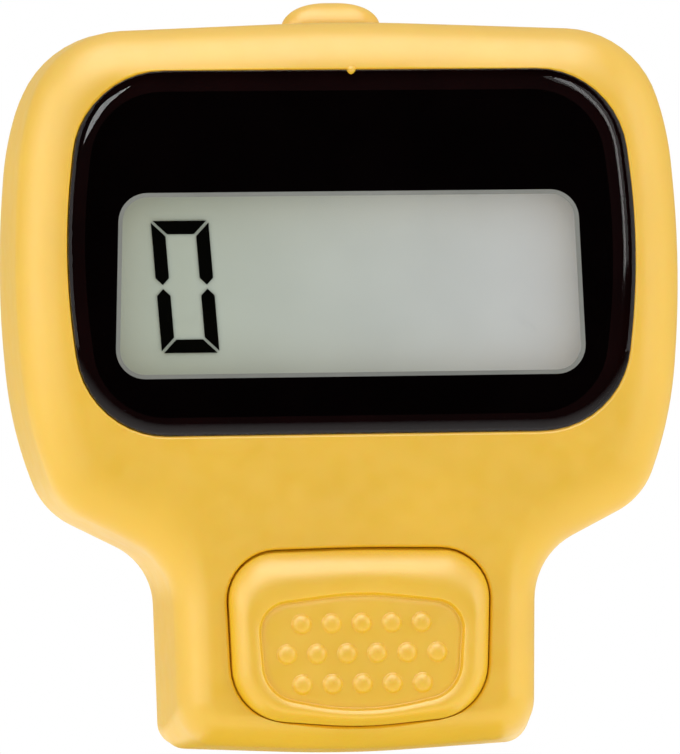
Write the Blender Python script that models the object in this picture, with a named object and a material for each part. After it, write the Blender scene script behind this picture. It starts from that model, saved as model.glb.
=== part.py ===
"""Digital finger counter, modelled as its separate pieces at real size.

The counter stands upright: its front faces -Y, its reset button is on top (+Z),
and the origin is the centre of the finger loop behind the case.
"""

import math

import bmesh
import bpy
from mathutils import Matrix, Vector

MM = 0.001

# Case outline seen from the front: half-width, height and fillet radius of each corner
WIDEST_HALF_WIDTH = 16.726 * MM
WIDEST_HEIGHT = -0.589 * MM
WIDEST_RADIUS = 54 * MM
TOP_HEIGHT = 11.947 * MM
TOP_CROWN = 0.486 * MM
TOP_CROWN_RADIUS = 90 * MM
TOP_CORNER_INSET = 2.181 * MM
TOP_CORNER_HALF_WIDTH = WIDEST_HALF_WIDTH - TOP_CORNER_INSET
TOP_CORNER_RADIUS = 5.155 * MM
UPPER_SIDE_INSET = 0.559 * MM
UPPER_SIDE_HALF_WIDTH = WIDEST_HALF_WIDTH - UPPER_SIDE_INSET
UPPER_SIDE_HEIGHT = 6.233 * MM
UPPER_SIDE_RADIUS = 14.9 * MM
LOWER_SIDE_INSET = 0.672 * MM
LOWER_SIDE_HALF_WIDTH = WIDEST_HALF_WIDTH - LOWER_SIDE_INSET
LOWER_SIDE_HEIGHT = -7.819 * MM
LOWER_SIDE_RADIUS = 21 * MM
SHOULDER_INSET = 2.18 * MM
SHOULDER_HALF_WIDTH = WIDEST_HALF_WIDTH - SHOULDER_INSET
SHOULDER_HEIGHT = -11.921 * MM
SHOULDER_RADIUS = 3.972 * MM
NECK_TOP_HALF_WIDTH = 9.218 * MM
NECK_TOP_HEIGHT = -14.632 * MM
NECK_TOP_RADIUS = 3.208 * MM
NECK_END_HALF_WIDTH = 9.022 * MM
NECK_END_HEIGHT = -23.583 * MM
NECK_END_RADIUS = 2.65 * MM
NECK_END_BACK_RADIUS = 1.2 * MM
NECK_CROWN = 0.383 * MM
NECK_CROWN_RADIUS = 60 * MM

# Depths are measured back from the case's front face
FRONT_FACE_Y = -21.9 * MM
CASE_THICKNESS = 11.8 * MM
PARTING_DEPTH = 7.0 * MM
PARTING_STEP = 0.1 * MM
SIDE_WALL = 1.3 * MM
FRONT_WALL = 2.3 * MM
BACK_WALL = 1.2 * MM
FRONT_ROUND_DEPTH = 2.2 * MM
FRONT_ROUND_INSET = 2.0 * MM
SIDE_DRAFT = 0.5 * MM
BACK_ROUND = 1.6 * MM
CAVITY_EDGE_DEPTH = 1.2 * MM
CAVITY_EDGE_INSET = 0.6 * MM
BOSS_RECESS = 0.1 * MM
ROOT_OVERLAP = 0.25 * MM
SEAT_GAP = 0.08 * MM
SHELL_GAP = 0.06 * MM

# Display lens and the black mask behind it
LENS_CENTRE_HEIGHT = 0.35 * MM
LENS_HALF_HEIGHT = 8.767 * MM
LENS_CORNER_INSET = 3.784 * MM
LENS_CORNER_HALF_WIDTH = WIDEST_HALF_WIDTH - LENS_CORNER_INSET
LENS_CORNER_RADIUS = 4.4 * MM
LENS_SIDE_INSET = 2.734 * MM
LENS_SIDE_HALF_WIDTH = WIDEST_HALF_WIDTH - LENS_SIDE_INSET
LENS_SIDE_RADIUS = 34 * MM
LENS_PROUD = 0.35 * MM
LENS_THICKNESS = 1.55 * MM
LENS_EDGE_ROUND = 0.6 * MM
LENS_FIT = 0.08 * MM
MASK_THICKNESS = 0.14 * MM
MASK_FIT = 0.4 * MM

# Window in the mask, over the liquid crystal display
WINDOW_DROP = 1.5 * MM
WINDOW_HALF_HEIGHT = 4.475 * MM
WINDOW_SIDE_INSET = 1.782 * MM
WINDOW_TOP_HALF_WIDTH = LENS_CORNER_HALF_WIDTH - WINDOW_SIDE_INSET
WINDOW_FLARE = 0.31 * MM
WINDOW_RADIUS = 1.4 * MM
LEDGE_MARGIN = 0.35 * MM

# Liquid crystal display
GLASS_BORDER = 1.0 * MM
GLASS_LOWER_BORDER = 1.7 * MM
GLASS_THICKNESS = 0.55 * MM
GLASS_CORNER_RADIUS = 0.1 * MM
POLARIZER_THICKNESS = 0.2 * MM
REFLECTOR_THICKNESS = 0.2 * MM
CONTACT_LEDGE = 1.3 * MM
STRIP_SIDE_GAP = 0.3 * MM
STRIP_EDGE_GAP = 0.1 * MM
FRAME_WALL = 0.7 * MM
FRAME_RAIL = 0.8 * MM
FRAME_CORNER_RADIUS = 0.6 * MM

# Lit segments of the digit 0
SEGMENT_THICKNESS = 0.06 * MM
DIGIT_HEIGHT = 6.42 * MM
DIGIT_WIDTH = 2.8 * MM
DIGIT_LEFT_MARGIN = 1.9 * MM
DIGIT_TOP_MARGIN = 1.23 * MM
STROKE_WIDTH = 0.65 * MM
SEGMENT_SPACE = 0.2 * MM
DIGIT_LEAN = math.radians(-4)

# Circuit board and what it carries
BOARD_THICKNESS = 0.8 * MM
BOARD_CLEARANCE = 0.5 * MM
NOTCH_SHARE = 0.99
BOARD_DEPTH = 5.2 * MM
BOARD_SCREW_X = 6.6 * MM
BOARD_SCREW_TOP = 7.6 * MM
BOARD_SCREW_BOTTOM = -9.7 * MM
BOARD_BOSS_RADIUS = 1.1 * MM
BOARD_HOLE_RADIUS = 0.75 * MM
BOARD_SCREW_RADIUS = 0.5 * MM
BOARD_SCREW_HEAD_RADIUS = 0.95 * MM
BOARD_SCREW_HEAD_HEIGHT = 0.6 * MM
BOARD_SCREW_LENGTH = 2.4 * MM
BOARD_PILOT_FLOOR = 0.6 * MM
CHIP_RADIUS = 3.0 * MM
CHIP_HEIGHT = 1.1 * MM
CHIP_TOP_SHARE = 0.2
CHIP_X = -3.4 * MM
CHIP_HEIGHT_ON_BOARD = 1.0 * MM
SMALL_PART_LENGTH = 1.6 * MM
SMALL_PART_WIDTH = 0.8 * MM
SMALL_PART_THICKNESS = 0.6 * MM
SMALL_PART_X = 4.5 * MM
CAPACITOR_HEIGHT = 2.0 * MM
RESISTOR_HEIGHT = -1.0 * MM

# Screws that hold the two halves of the case
CASE_SCREW_TOP_INSET = 4.667 * MM
CASE_SCREW_TOP_X = UPPER_SIDE_HALF_WIDTH - CASE_SCREW_TOP_INSET
CASE_SCREW_TOP_HEIGHT = 8.1 * MM
CASE_SCREW_LOW_INSET = 4.854 * MM
CASE_SCREW_LOW_X = LOWER_SIDE_HALF_WIDTH - CASE_SCREW_LOW_INSET
CASE_SCREW_LOW_HEIGHT = -10.2 * MM
CASE_BOSS_RADIUS = 1.55 * MM
CASE_SCREW_RADIUS = 0.75 * MM
CASE_SCREW_LENGTH = 5.6 * MM
CASE_SCREW_HEAD_RADIUS = 1.35 * MM
CASE_SCREW_HEAD_HEIGHT = 0.9 * MM
CASE_SCREW_SINK = 0.4 * MM
CASE_PILOT_FLOOR = 0.4 * MM
SCREW_HOLE_GAP = 0.1 * MM
SINK_WALL = 0.5 * MM
SCREW_TIP_SHARE = 0.6
HEAD_EDGE_SHARE = 0.3
HEAD_TOP_SHARE = 0.8
RECESS_DEPTH_SHARE = 0.55
RECESS_LENGTH_SHARE = 0.6
RECESS_WIDTH_SHARE = 0.16

# Count button in the neck
BUTTON_HEIGHT_CENTRE = -18.26 * MM
BUTTON_HALF_WIDTH = 6.39 * MM
BUTTON_TAPER = 0.3 * MM
BUTTON_HALF_HEIGHT = 4.26 * MM
BUTTON_TOP_RADIUS = 2.3 * MM
BUTTON_LOW_RADIUS = 2.7 * MM
BUTTON_TOP_CROWN = 0.12 * MM
BUTTON_LOW_CROWN = 0.55 * MM
BUTTON_LOW_CURVE = 19 * MM
BUTTON_PROUD = 1.1 * MM
BUTTON_EDGE_ROUND = 0.9 * MM
BUTTON_CLEARANCE = 0.16 * MM
BUTTON_FLANGE = 0.35 * MM
BUTTON_FLANGE_THICKNESS = 0.7 * MM
BUTTON_WALL = 1.5 * MM
BUTTON_STEM_RADIUS = 1.6 * MM
PANEL_HALF_WIDTH = 5.085 * MM
PANEL_HALF_HEIGHT = 3.03 * MM
PANEL_DROP = 0.7 * MM
PANEL_DEPTH = 0.3 * MM
PANEL_RADIUS = 1.5 * MM
PANEL_TOP_CROWN = 0.25 * MM
PANEL_LOW_CROWN = 0.8 * MM
PANEL_TOP_CURVE = 40 * MM
PANEL_LOW_CURVE = 15 * MM
GRIP_DOT_RADIUS = 0.42 * MM
GRIP_DOT_HEIGHT = 0.24 * MM
GRIP_DOT_PITCH = 1.45 * MM
GRIP_DOT_COLUMNS = 5
GRIP_DOT_ROWS = 3
DOT_TOP_SHARE = 0.4
DOT_ROOT_SHARE = 1.5

# Reset button on the top edge
RESET_HALF_WIDTH = 2.43 * MM
RESET_DEPTH = 7.9 * MM
RESET_HALF_DEPTH = 1.35 * MM
RESET_PROUD = 1.13 * MM
RESET_EDGE_ROUND = 0.85 * MM
RESET_CLEARANCE = 0.15 * MM
RESET_FLANGE = 0.45 * MM
RESET_FLANGE_THICKNESS = 0.7 * MM
RESET_TRAVEL = 0.4 * MM
RESET_SWITCH_SIZE = 3.6 * MM
RESET_HOLE_RISE = 2.0 * MM
RESET_CORNER_SHARE = 0.8
RESET_COVER_GAP = 0.3 * MM

# Push switches under the two buttons
COUNT_SWITCH_SIZE = 4.4 * MM
SWITCH_HEIGHT = 1.65 * MM
SWITCH_COVER = 0.15 * MM
SWITCH_FLOOR = 0.45 * MM
SWITCH_WALL = 0.45 * MM
PLUNGER_RADIUS = 0.9 * MM
PLUNGER_FIT = 0.1 * MM
PLUNGER_CHAMFER = 0.1 * MM
PLUNGER_FLANGE_RADIUS = 1.15 * MM
PLUNGER_FLANGE_THICKNESS = 0.3 * MM
DOME_RADIUS = 1.1 * MM
DOME_RISE = 0.42 * MM
DOME_THICKNESS = 0.1 * MM
DOME_SHARES = ((0.15, 1.0), (0.5, 0.85), (0.85, 0.45), (1.0, 0.0))
FOOT_SHARE = 0.6
STEM_GAP = 0.08 * MM
COUNT_PLUNGER_ROOM = 0.45 * MM

# Button cell, its well and contacts
CELL_HEIGHT_CENTRE = -15.95 * MM
CELL_RADIUS = 5.8 * MM
CELL_THICKNESS = 3.05 * MM
CELL_DEPTH = 6.95 * MM
CELL_CLEARANCE = 0.25 * MM
CELL_CAP_RADIUS = 4.9 * MM
CELL_CAN_WALL = 0.3 * MM
CAN_RIM_DROP = 0.25 * MM
CAN_RIM_ROUND = 0.15 * MM
CAN_EDGE_ROUND = 0.25 * MM
CAP_EDGE = 0.3 * MM
GASKET_WIDTH = 0.35 * MM
GASKET_GAP = 0.04 * MM
GASKET_DROP = 0.15 * MM
WELL_WALL = 0.75 * MM
WELL_RECESS = 0.35 * MM
CONTACT_THICKNESS = 0.2 * MM
CONTACT_WIDTH = 2.0 * MM
CONTACT_GAP = 0.12 * MM
CONTACT_FOOT = 1.6 * MM
CONTACT_ROOM = 0.3 * MM
LEAF_REACH_SHARE = 0.55
LEAF_FOOT_SHARE = 0.35
LEAF_TOUCH_SHARE = 0.5
CLIP_REACH_SHARE = 0.75

# Battery door
DOOR_HALF_WIDTH = 6.75 * MM
DOOR_TOP_HEIGHT = -7.5 * MM
DOOR_LOW_HEIGHT = -22.2 * MM
DOOR_CORNER_RADIUS = 1.6 * MM
DOOR_THICKNESS = 1.0 * MM
DOOR_CLEARANCE = 0.12 * MM
DOOR_LEDGE = 0.8 * MM
DOOR_PLUG_MARGIN = 0.4 * MM
DOOR_SCREW_HEIGHT = -8.9 * MM
DOOR_SCREW_RADIUS = 0.6 * MM
DOOR_SCREW_HEAD_RADIUS = 1.1 * MM
DOOR_SCREW_HEAD_HEIGHT = 0.5 * MM
DOOR_SCREW_LENGTH = 2.2 * MM
DOOR_BOSS_RADIUS = 1.5 * MM
DOOR_BOSS_LENGTH = 2.6 * MM
DOOR_PILOT_FLOOR = 0.5 * MM

# Finger strap, a band in the XY plane around the origin
STRAP_WIDTH = 9.0 * MM
STRAP_THICKNESS = 1.0 * MM
LOOP_RADIUS = 9.8 * MM
LOOP_FLAT_Y = -9.3 * MM
LOOP_CORNER_RADIUS = 3.0 * MM
LAYER_GAP = 0.15 * MM
INNER_END_ANGLE = math.radians(121)
OUTER_END_ANGLE = math.radians(52)
STEP_UP_ANGLE = math.radians(168)
STEP_TOP_ANGLE = math.radians(127)
STUD_ANGLES = (math.radians(80), math.radians(95))
HOLE_ANGLES = (math.radians(65), math.radians(80), math.radians(95), math.radians(110))
STUD_RADIUS = 0.9 * MM
STUD_HEAD_RADIUS = 1.3 * MM
STUD_HEAD_HEIGHT = 0.45 * MM
STUD_EDGE_SHARE = 0.8
STUD_RISE_SHARE = 0.7
STUD_TOP_SHARE = 0.45
STRAP_HOLE_RADIUS = 1.1 * MM
HOLE_START_SHARE = 0.6
OUTER_STEP_SHARE = 0.7

# Keeper bars on the back that hold the strap
KEEPER_CENTRE_X = 6.3 * MM
KEEPER_WIDTH = 1.4 * MM
KEEPER_THICKNESS = 1.1 * MM
KEEPER_CLEARANCE = 0.3 * MM
KEEPER_SIDE_CLEARANCE = 0.4 * MM
KEEPER_ROOT = 0.5 * MM
KEEPER_POST = 1.3 * MM

# How finely arcs are drawn
ARC_STEP = math.radians(16)
ROUND_SEGMENTS = 16
SMALL_SEGMENTS = 10
DOT_SEGMENTS = 6
CELL_SEGMENTS = 32
LOFT_STEPS = 4
BEND_STEPS = 5
BAND_STEP = math.radians(10)
FILLET_SHARE = 0.97
LEAST_RADIUS = 0.05 * MM
SHARP_ANGLE = math.radians(35)

CASE_YELLOW = (0.87, 0.52, 0.055)
INK_BLACK = (0.005, 0.004, 0.005)


def depth_to_y(depth):
    """World Y of a depth measured back from the case's front face."""
    return FRONT_FACE_Y + depth


def clear_scene():
    for old in list(bpy.data.objects):
        bpy.data.objects.remove(old, do_unlink=True)


def make_collection(name):
    collection = bpy.data.collections.new(name)
    bpy.context.scene.collection.children.link(collection)
    return collection


def make_material(name, colour, roughness, metallic=0.0, transmission=0.0):
    """A Principled material in one plain colour."""
    material = bpy.data.materials.new(name)
    material.use_nodes = True
    shader = material.node_tree.nodes["Principled BSDF"]
    shader.inputs["Base Color"].default_value = (*colour, 1.0)
    shader.inputs["Roughness"].default_value = roughness
    shader.inputs["Metallic"].default_value = metallic
    shader.inputs["Transmission Weight"].default_value = transmission
    return material


def add_object(name, mesh, collection, material=None, origin=(0.0, 0.0, 0.0)):
    """Link a mesh as an object whose origin is moved to a point of the world."""
    part = bpy.data.objects.new(name, mesh)
    mesh.transform(Matrix.Translation(-Vector(origin)))
    part.location = origin
    if material is not None:
        mesh.materials.append(material)
    collection.objects.link(part)
    return part


def as_cutter(part):
    part.hide_render = True
    part.display_type = "WIRE"
    return part


def apply_boolean(part, tool, operation="DIFFERENCE"):
    """Cut a part by a tool, or join the tool to it."""
    modifier = part.modifiers.new(tool.name, "BOOLEAN")
    modifier.operation = operation
    modifier.solver = "EXACT"
    modifier.object = tool


def finish_mesh(name, form):
    bmesh.ops.recalc_face_normals(form, faces=form.faces)
    mesh = bpy.data.meshes.new(name)
    form.to_mesh(mesh)
    form.free()
    mesh.shade_smooth()
    mesh.set_sharp_from_angle(angle=SHARP_ANGLE)
    return mesh


def mirrored(corners):
    """Close the right half of an outline, listed from the top down, with its left half."""
    left = [(-x, z, radius) for x, z, radius in reversed(corners) if x > 0.0]
    return list(corners) + left


def limited_radii(corners):
    """Shrink fillets that would overlap along a shared edge."""
    count = len(corners)
    points = [Vector(corner[:2]) for corner in corners]
    reach = []
    for index, here in enumerate(points):
        opening = (points[index - 1] - here).angle(points[(index + 1) % count] - here)
        reach.append(1.0 / math.tan(opening / 2))
    limited = []
    for index, (x, z, radius) in enumerate(corners):
        share = 1.0
        for other in (index - 1, (index + 1) % count):
            room = FILLET_SHARE * (points[other] - points[index]).length
            used = radius * reach[index] + corners[other][2] * reach[other]
            share = min(share, room / used)
        limited.append((x, z, radius * share))
    return limited


def offset_corners(corners, inset):
    """Move every edge of a clockwise outline inwards and keep its fillets concentric."""
    count = len(corners)
    moved = []
    for index, (x, z, radius) in enumerate(corners):
        before = Vector(corners[index - 1][:2])
        here = Vector((x, z))
        after = Vector(corners[(index + 1) % count][:2])
        edge_in = (here - before).normalized()
        edge_out = (after - here).normalized()
        normal_in = Vector((edge_in.y, -edge_in.x))
        normal_out = Vector((edge_out.y, -edge_out.x))
        mitre = (normal_in + normal_out).normalized()
        shift = mitre * (inset / mitre.dot(normal_in))
        turn = edge_in.x * edge_out.y - edge_in.y * edge_out.x
        new_radius = radius - inset if turn < 0.0 else radius + inset
        moved.append((here.x + shift.x, here.y + shift.y, max(new_radius, LEAST_RADIUS)))
    return moved


def filleted(corners, inset=0.0):
    """Points of a closed outline whose corners are rounded by tangent arcs."""
    moved = offset_corners(limited_radii(corners), inset)
    count = len(moved)
    points = []
    for index, (x, z, radius) in enumerate(moved):
        here = Vector((x, z))
        to_before = (Vector(moved[index - 1][:2]) - here).normalized()
        to_after = (Vector(moved[(index + 1) % count][:2]) - here).normalized()
        opening = to_before.angle(to_after)
        turning = math.pi - opening
        steps = max(2, math.ceil(round(turning / ARC_STEP, 3)))
        middle = (to_before + to_after).normalized()
        centre = here + middle * (radius / math.sin(opening / 2))
        start = here + to_before * (radius / math.tan(opening / 2)) - centre
        side = 1.0 if to_before.x * to_after.y - to_before.y * to_after.x > 0.0 else -1.0
        for step in range(steps + 1):
            angle = side * turning * step / steps
            spoke = Matrix.Rotation(-angle, 2) @ start
            points.append((centre.x + spoke.x, centre.y + spoke.y))
    return points


def ring(points, depth):
    return [(x, depth_to_y(depth), z) for x, z in points]


def loft(name, rings):
    """Join equal rings into one skin and close both ends."""
    form = bmesh.new()
    rows = [[form.verts.new(point) for point in one_ring] for one_ring in rings]
    for row, next_row in zip(rows, rows[1:]):
        for index, corner in enumerate(row):
            previous = index - 1
            form.faces.new((row[previous], corner, next_row[index], next_row[previous]))
    form.faces.new(rows[0])
    form.faces.new(reversed(rows[-1]))
    return finish_mesh(name, form)


def prism(name, corners, front, back, inset=0.0):
    """A flat plate or block with a filleted outline."""
    points = filleted(corners, inset)
    return loft(name, [ring(points, front), ring(points, back)])


def rounded_prism(name, corners, front, back, edge, inset=0.0):
    """A plate whose front edge is rounded by a quarter circle."""
    rings = []
    for step in range(LOFT_STEPS + 1):
        angle = math.pi / 2 * step / LOFT_STEPS
        points = filleted(corners, inset + edge * (1.0 - math.sin(angle)))
        rings.append(ring(points, front + edge * (1.0 - math.cos(angle))))
    rings.append(ring(filleted(corners, inset), back))
    return loft(name, rings)


def cylinder_mesh(name, x, z, radius, front, back, segments=ROUND_SEGMENTS, end_radius=None):
    """A cylinder or cone along the depth, with its radius at the front and at the back."""
    form = bmesh.new()
    bmesh.ops.create_cone(
        form,
        cap_ends=True,
        segments=segments,
        radius1=radius,
        radius2=radius if end_radius is None else end_radius,
        depth=back - front,
    )
    turn = Matrix.Rotation(-math.pi / 2, 4, "X")
    middle = Matrix.Translation((x, depth_to_y((front + back) / 2), z))
    bmesh.ops.transform(form, matrix=middle @ turn, verts=form.verts)
    return finish_mesh(name, form)


def box_mesh(name, low, high):
    """A box between two corners of the world."""
    form = bmesh.new()
    bmesh.ops.create_cube(form, size=1.0)
    size = Vector(high) - Vector(low)
    middle = (Vector(high) + Vector(low)) / 2
    matrix = Matrix.Translation(middle) @ Matrix.Diagonal((*size, 1.0))
    bmesh.ops.transform(form, matrix=matrix, verts=form.verts)
    return finish_mesh(name, form)


def turned(name, profile, segments, place):
    """Turn a profile of (radius, height) points about the height axis and place it."""
    form = bmesh.new()
    rows = []
    for radius, height in profile:
        row = []
        for index in range(segments):
            angle = 2 * math.pi * index / segments
            row.append(form.verts.new((radius * math.cos(angle), radius * math.sin(angle), height)))
        rows.append(row)
    for row, next_row in zip(rows, rows[1:]):
        for index, corner in enumerate(row):
            previous = index - 1
            form.faces.new((row[previous], corner, next_row[index], next_row[previous]))
    form.faces.new(rows[0])
    form.faces.new(reversed(rows[-1]))
    bmesh.ops.transform(form, matrix=place, verts=form.verts)
    return finish_mesh(name, form)


def crown_peak(half_width, crown, radius):
    """How far a crown's corner lies outside the arc that rounds it."""
    slope = math.atan2(crown, half_width)
    return radius * (1.0 / math.cos(slope) - 1.0)


def case_corners(neck_end_radius=NECK_END_RADIUS):
    top_peak = crown_peak(TOP_CORNER_HALF_WIDTH, TOP_CROWN, TOP_CROWN_RADIUS)
    low_peak = crown_peak(NECK_END_HALF_WIDTH, NECK_CROWN, NECK_CROWN_RADIUS)
    return mirrored([
        (0.0, TOP_HEIGHT + top_peak, TOP_CROWN_RADIUS),
        (TOP_CORNER_HALF_WIDTH, TOP_HEIGHT - TOP_CROWN, TOP_CORNER_RADIUS),
        (UPPER_SIDE_HALF_WIDTH, UPPER_SIDE_HEIGHT, UPPER_SIDE_RADIUS),
        (WIDEST_HALF_WIDTH, WIDEST_HEIGHT, WIDEST_RADIUS),
        (LOWER_SIDE_HALF_WIDTH, LOWER_SIDE_HEIGHT, LOWER_SIDE_RADIUS),
        (SHOULDER_HALF_WIDTH, SHOULDER_HEIGHT, SHOULDER_RADIUS),
        (NECK_TOP_HALF_WIDTH, NECK_TOP_HEIGHT, NECK_TOP_RADIUS),
        (NECK_END_HALF_WIDTH, NECK_END_HEIGHT, neck_end_radius),
        (0.0, NECK_END_HEIGHT - NECK_CROWN - low_peak, NECK_CROWN_RADIUS),
    ])


def lens_corners():
    top = LENS_CENTRE_HEIGHT + LENS_HALF_HEIGHT
    low = LENS_CENTRE_HEIGHT - LENS_HALF_HEIGHT
    return mirrored([
        (LENS_CORNER_HALF_WIDTH, top, LENS_CORNER_RADIUS),
        (LENS_SIDE_HALF_WIDTH, LENS_CENTRE_HEIGHT, LENS_SIDE_RADIUS),
        (LENS_CORNER_HALF_WIDTH, low, LENS_CORNER_RADIUS),
    ])


def window_centre():
    return LENS_CENTRE_HEIGHT - WINDOW_DROP


def window_corners():
    return mirrored([
        (WINDOW_TOP_HALF_WIDTH, window_centre() + WINDOW_HALF_HEIGHT, WINDOW_RADIUS),
        (WINDOW_TOP_HALF_WIDTH + WINDOW_FLARE, window_centre() - WINDOW_HALF_HEIGHT, WINDOW_RADIUS),
    ])


def button_corners():
    top = BUTTON_HEIGHT_CENTRE + BUTTON_HALF_HEIGHT
    low = BUTTON_HEIGHT_CENTRE - BUTTON_HALF_HEIGHT
    return mirrored([
        (0.0, top, TOP_CROWN_RADIUS),
        (BUTTON_HALF_WIDTH, top - BUTTON_TOP_CROWN, BUTTON_TOP_RADIUS),
        (BUTTON_HALF_WIDTH - BUTTON_TAPER, low + BUTTON_LOW_CROWN, BUTTON_LOW_RADIUS),
        (0.0, low, BUTTON_LOW_CURVE),
    ])


def panel_corners():
    middle = BUTTON_HEIGHT_CENTRE - PANEL_DROP
    return mirrored([
        (0.0, middle + PANEL_HALF_HEIGHT, PANEL_TOP_CURVE),
        (PANEL_HALF_WIDTH, middle + PANEL_HALF_HEIGHT - PANEL_TOP_CROWN, PANEL_RADIUS),
        (PANEL_HALF_WIDTH - BUTTON_TAPER, middle - PANEL_HALF_HEIGHT + PANEL_LOW_CROWN, PANEL_RADIUS),
        (0.0, middle - PANEL_HALF_HEIGHT, PANEL_LOW_CURVE),
    ])


def reset_corners(grow=0.0):
    """Outline of the reset button seen from above: X and depth."""
    half_width = RESET_HALF_WIDTH + grow
    half_depth = RESET_HALF_DEPTH + grow
    radius = half_depth * RESET_CORNER_SHARE
    return mirrored([
        (half_width, depth_to_y(RESET_DEPTH) + half_depth, radius),
        (half_width, depth_to_y(RESET_DEPTH) - half_depth, radius),
    ])


def block_corners(half_width, low, high, radius):
    return mirrored([(half_width, high, radius), (half_width, low, radius)])


def lens_seat_depth():
    return LENS_THICKNESS - LENS_PROUD + SEAT_GAP + MASK_THICKNESS


def glass_edges():
    """Half-width, lowest and highest Z of the display's front glass."""
    half_width = WINDOW_TOP_HALF_WIDTH + WINDOW_FLARE + GLASS_BORDER
    low = window_centre() - WINDOW_HALF_HEIGHT - GLASS_LOWER_BORDER
    high = window_centre() + WINDOW_HALF_HEIGHT + GLASS_BORDER
    return half_width, low, high


def display_depths():
    """Front and back depth of each layer of the display."""
    layers = (
        ("lcd_front_polarizer", POLARIZER_THICKNESS),
        ("lcd_front_glass", GLASS_THICKNESS),
        ("lcd_segments", SEGMENT_THICKNESS),
        ("lcd_rear_glass", GLASS_THICKNESS),
        ("lcd_reflector", REFLECTOR_THICKNESS),
    )
    depths = {}
    front = FRONT_WALL + SEAT_GAP
    for name, thickness in layers:
        depths[name] = (front, front + thickness)
        front += thickness + SEAT_GAP / 2
    return depths


def case_screw_places():
    return (
        (-CASE_SCREW_TOP_X, CASE_SCREW_TOP_HEIGHT),
        (CASE_SCREW_TOP_X, CASE_SCREW_TOP_HEIGHT),
        (-CASE_SCREW_LOW_X, CASE_SCREW_LOW_HEIGHT),
        (CASE_SCREW_LOW_X, CASE_SCREW_LOW_HEIGHT),
    )


def board_screw_places():
    return (
        (-BOARD_SCREW_X, BOARD_SCREW_TOP),
        (BOARD_SCREW_X, BOARD_SCREW_TOP),
        (-BOARD_SCREW_X, BOARD_SCREW_BOTTOM),
        (BOARD_SCREW_X, BOARD_SCREW_BOTTOM),
    )


def board_back():
    return BOARD_DEPTH + BOARD_THICKNESS


def back_shelf_depth():
    """Front face of the back wall."""
    return CASE_THICKNESS - BACK_WALL


def door_seat_depth():
    return CASE_THICKNESS - DOOR_THICKNESS - SEAT_GAP


def reset_hole_prism(name, grow, low, high):
    points = filleted(reset_corners(grow))
    return loft(name, [[(x, y, low) for x, y in points], [(x, y, high) for x, y in points]])


class Workshop:
    """Holds the two collections and the materials while the pieces are made."""

    def __init__(self):
        self.parts = make_collection("finger_counter")
        self.cutters = make_collection("cutters")

    def part(self, name, mesh, material, origin=(0.0, 0.0, 0.0)):
        return add_object(name, mesh, self.parts, material, origin)

    def cut(self, part, mesh, operation="DIFFERENCE"):
        tool = as_cutter(add_object(mesh.name, mesh, self.cutters))
        apply_boolean(part, tool, operation)


def side_ring(depth, inset=0.0):
    """A ring of the front shell's drafted side, whose neck corners sharpen towards the parting line."""
    share = depth / PARTING_DEPTH
    sharpening = (NECK_END_RADIUS - NECK_END_BACK_RADIUS) * smooth_step(share)
    corners = case_corners(NECK_END_RADIUS - sharpening)
    return ring(filleted(corners, inset + SIDE_DRAFT * (1.0 - share)), depth)


def make_front_case(shop, yellow):
    rings = []
    for step in range(LOFT_STEPS + 2):
        angle = math.pi / 2 * step / (LOFT_STEPS + 1)
        depth = FRONT_ROUND_DEPTH * (1.0 - math.cos(angle))
        rings.append(side_ring(depth, FRONT_ROUND_INSET * (1.0 - math.sin(angle))))
    rings.append(side_ring((FRONT_ROUND_DEPTH + PARTING_DEPTH) / 2))
    rings.append(side_ring(PARTING_DEPTH))
    corners = case_corners()
    rings.append(ring(filleted(corners, SIDE_WALL), PARTING_DEPTH))
    rings.append(ring(filleted(corners, SIDE_WALL), FRONT_WALL + CAVITY_EDGE_DEPTH))
    rings.append(ring(filleted(corners, SIDE_WALL + CAVITY_EDGE_INSET), FRONT_WALL))
    case = shop.part("front_case", loft("front_case", rings), yellow)

    shop.cut(case, prism("lens_pocket", lens_corners(), -MM, lens_seat_depth(), -LENS_FIT))
    shop.cut(case, prism("display_opening", window_corners(), 0.0, FRONT_WALL + MM, -LEDGE_MARGIN))
    shop.cut(case, prism("button_opening", button_corners(), -MM, FRONT_WALL + MM, -BUTTON_CLEARANCE))
    flange_room = BUTTON_FLANGE + BUTTON_CLEARANCE
    shop.cut(case, prism("flange_pocket", button_corners(), BUTTON_WALL, FRONT_WALL + MM, -flange_room))
    for index, (x, z) in enumerate(case_screw_places()):
        name = f"front_boss_{index + 1}"
        boss_back = PARTING_DEPTH - BOSS_RECESS
        boss = cylinder_mesh(name, x, z, CASE_BOSS_RADIUS, FRONT_WALL - ROOT_OVERLAP, boss_back)
        shop.cut(case, boss, "UNION")
        name = f"front_pilot_{index + 1}"
        hole_radius = CASE_SCREW_RADIUS + SCREW_HOLE_GAP
        pilot = cylinder_mesh(name, x, z, hole_radius, FRONT_WALL + CASE_PILOT_FLOOR, PARTING_DEPTH + MM)
        shop.cut(case, pilot)
    for index, (x, z) in enumerate(board_screw_places()):
        top = BOARD_DEPTH - SHELL_GAP
        name = f"board_boss_{index + 1}"
        boss = cylinder_mesh(name, x, z, BOARD_BOSS_RADIUS, FRONT_WALL - ROOT_OVERLAP, top)
        shop.cut(case, boss, "UNION")
        name = f"board_pilot_{index + 1}"
        pilot_radius = BOARD_SCREW_RADIUS + SCREW_HOLE_GAP
        pilot = cylinder_mesh(name, x, z, pilot_radius, FRONT_WALL + BOARD_PILOT_FLOOR, BOARD_DEPTH + MM)
        shop.cut(case, pilot)
    low = TOP_HEIGHT - 2 * SIDE_WALL
    shop.cut(case, reset_hole_prism("reset_hole_front", RESET_CLEARANCE, low, TOP_HEIGHT + RESET_HOLE_RISE))


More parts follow.
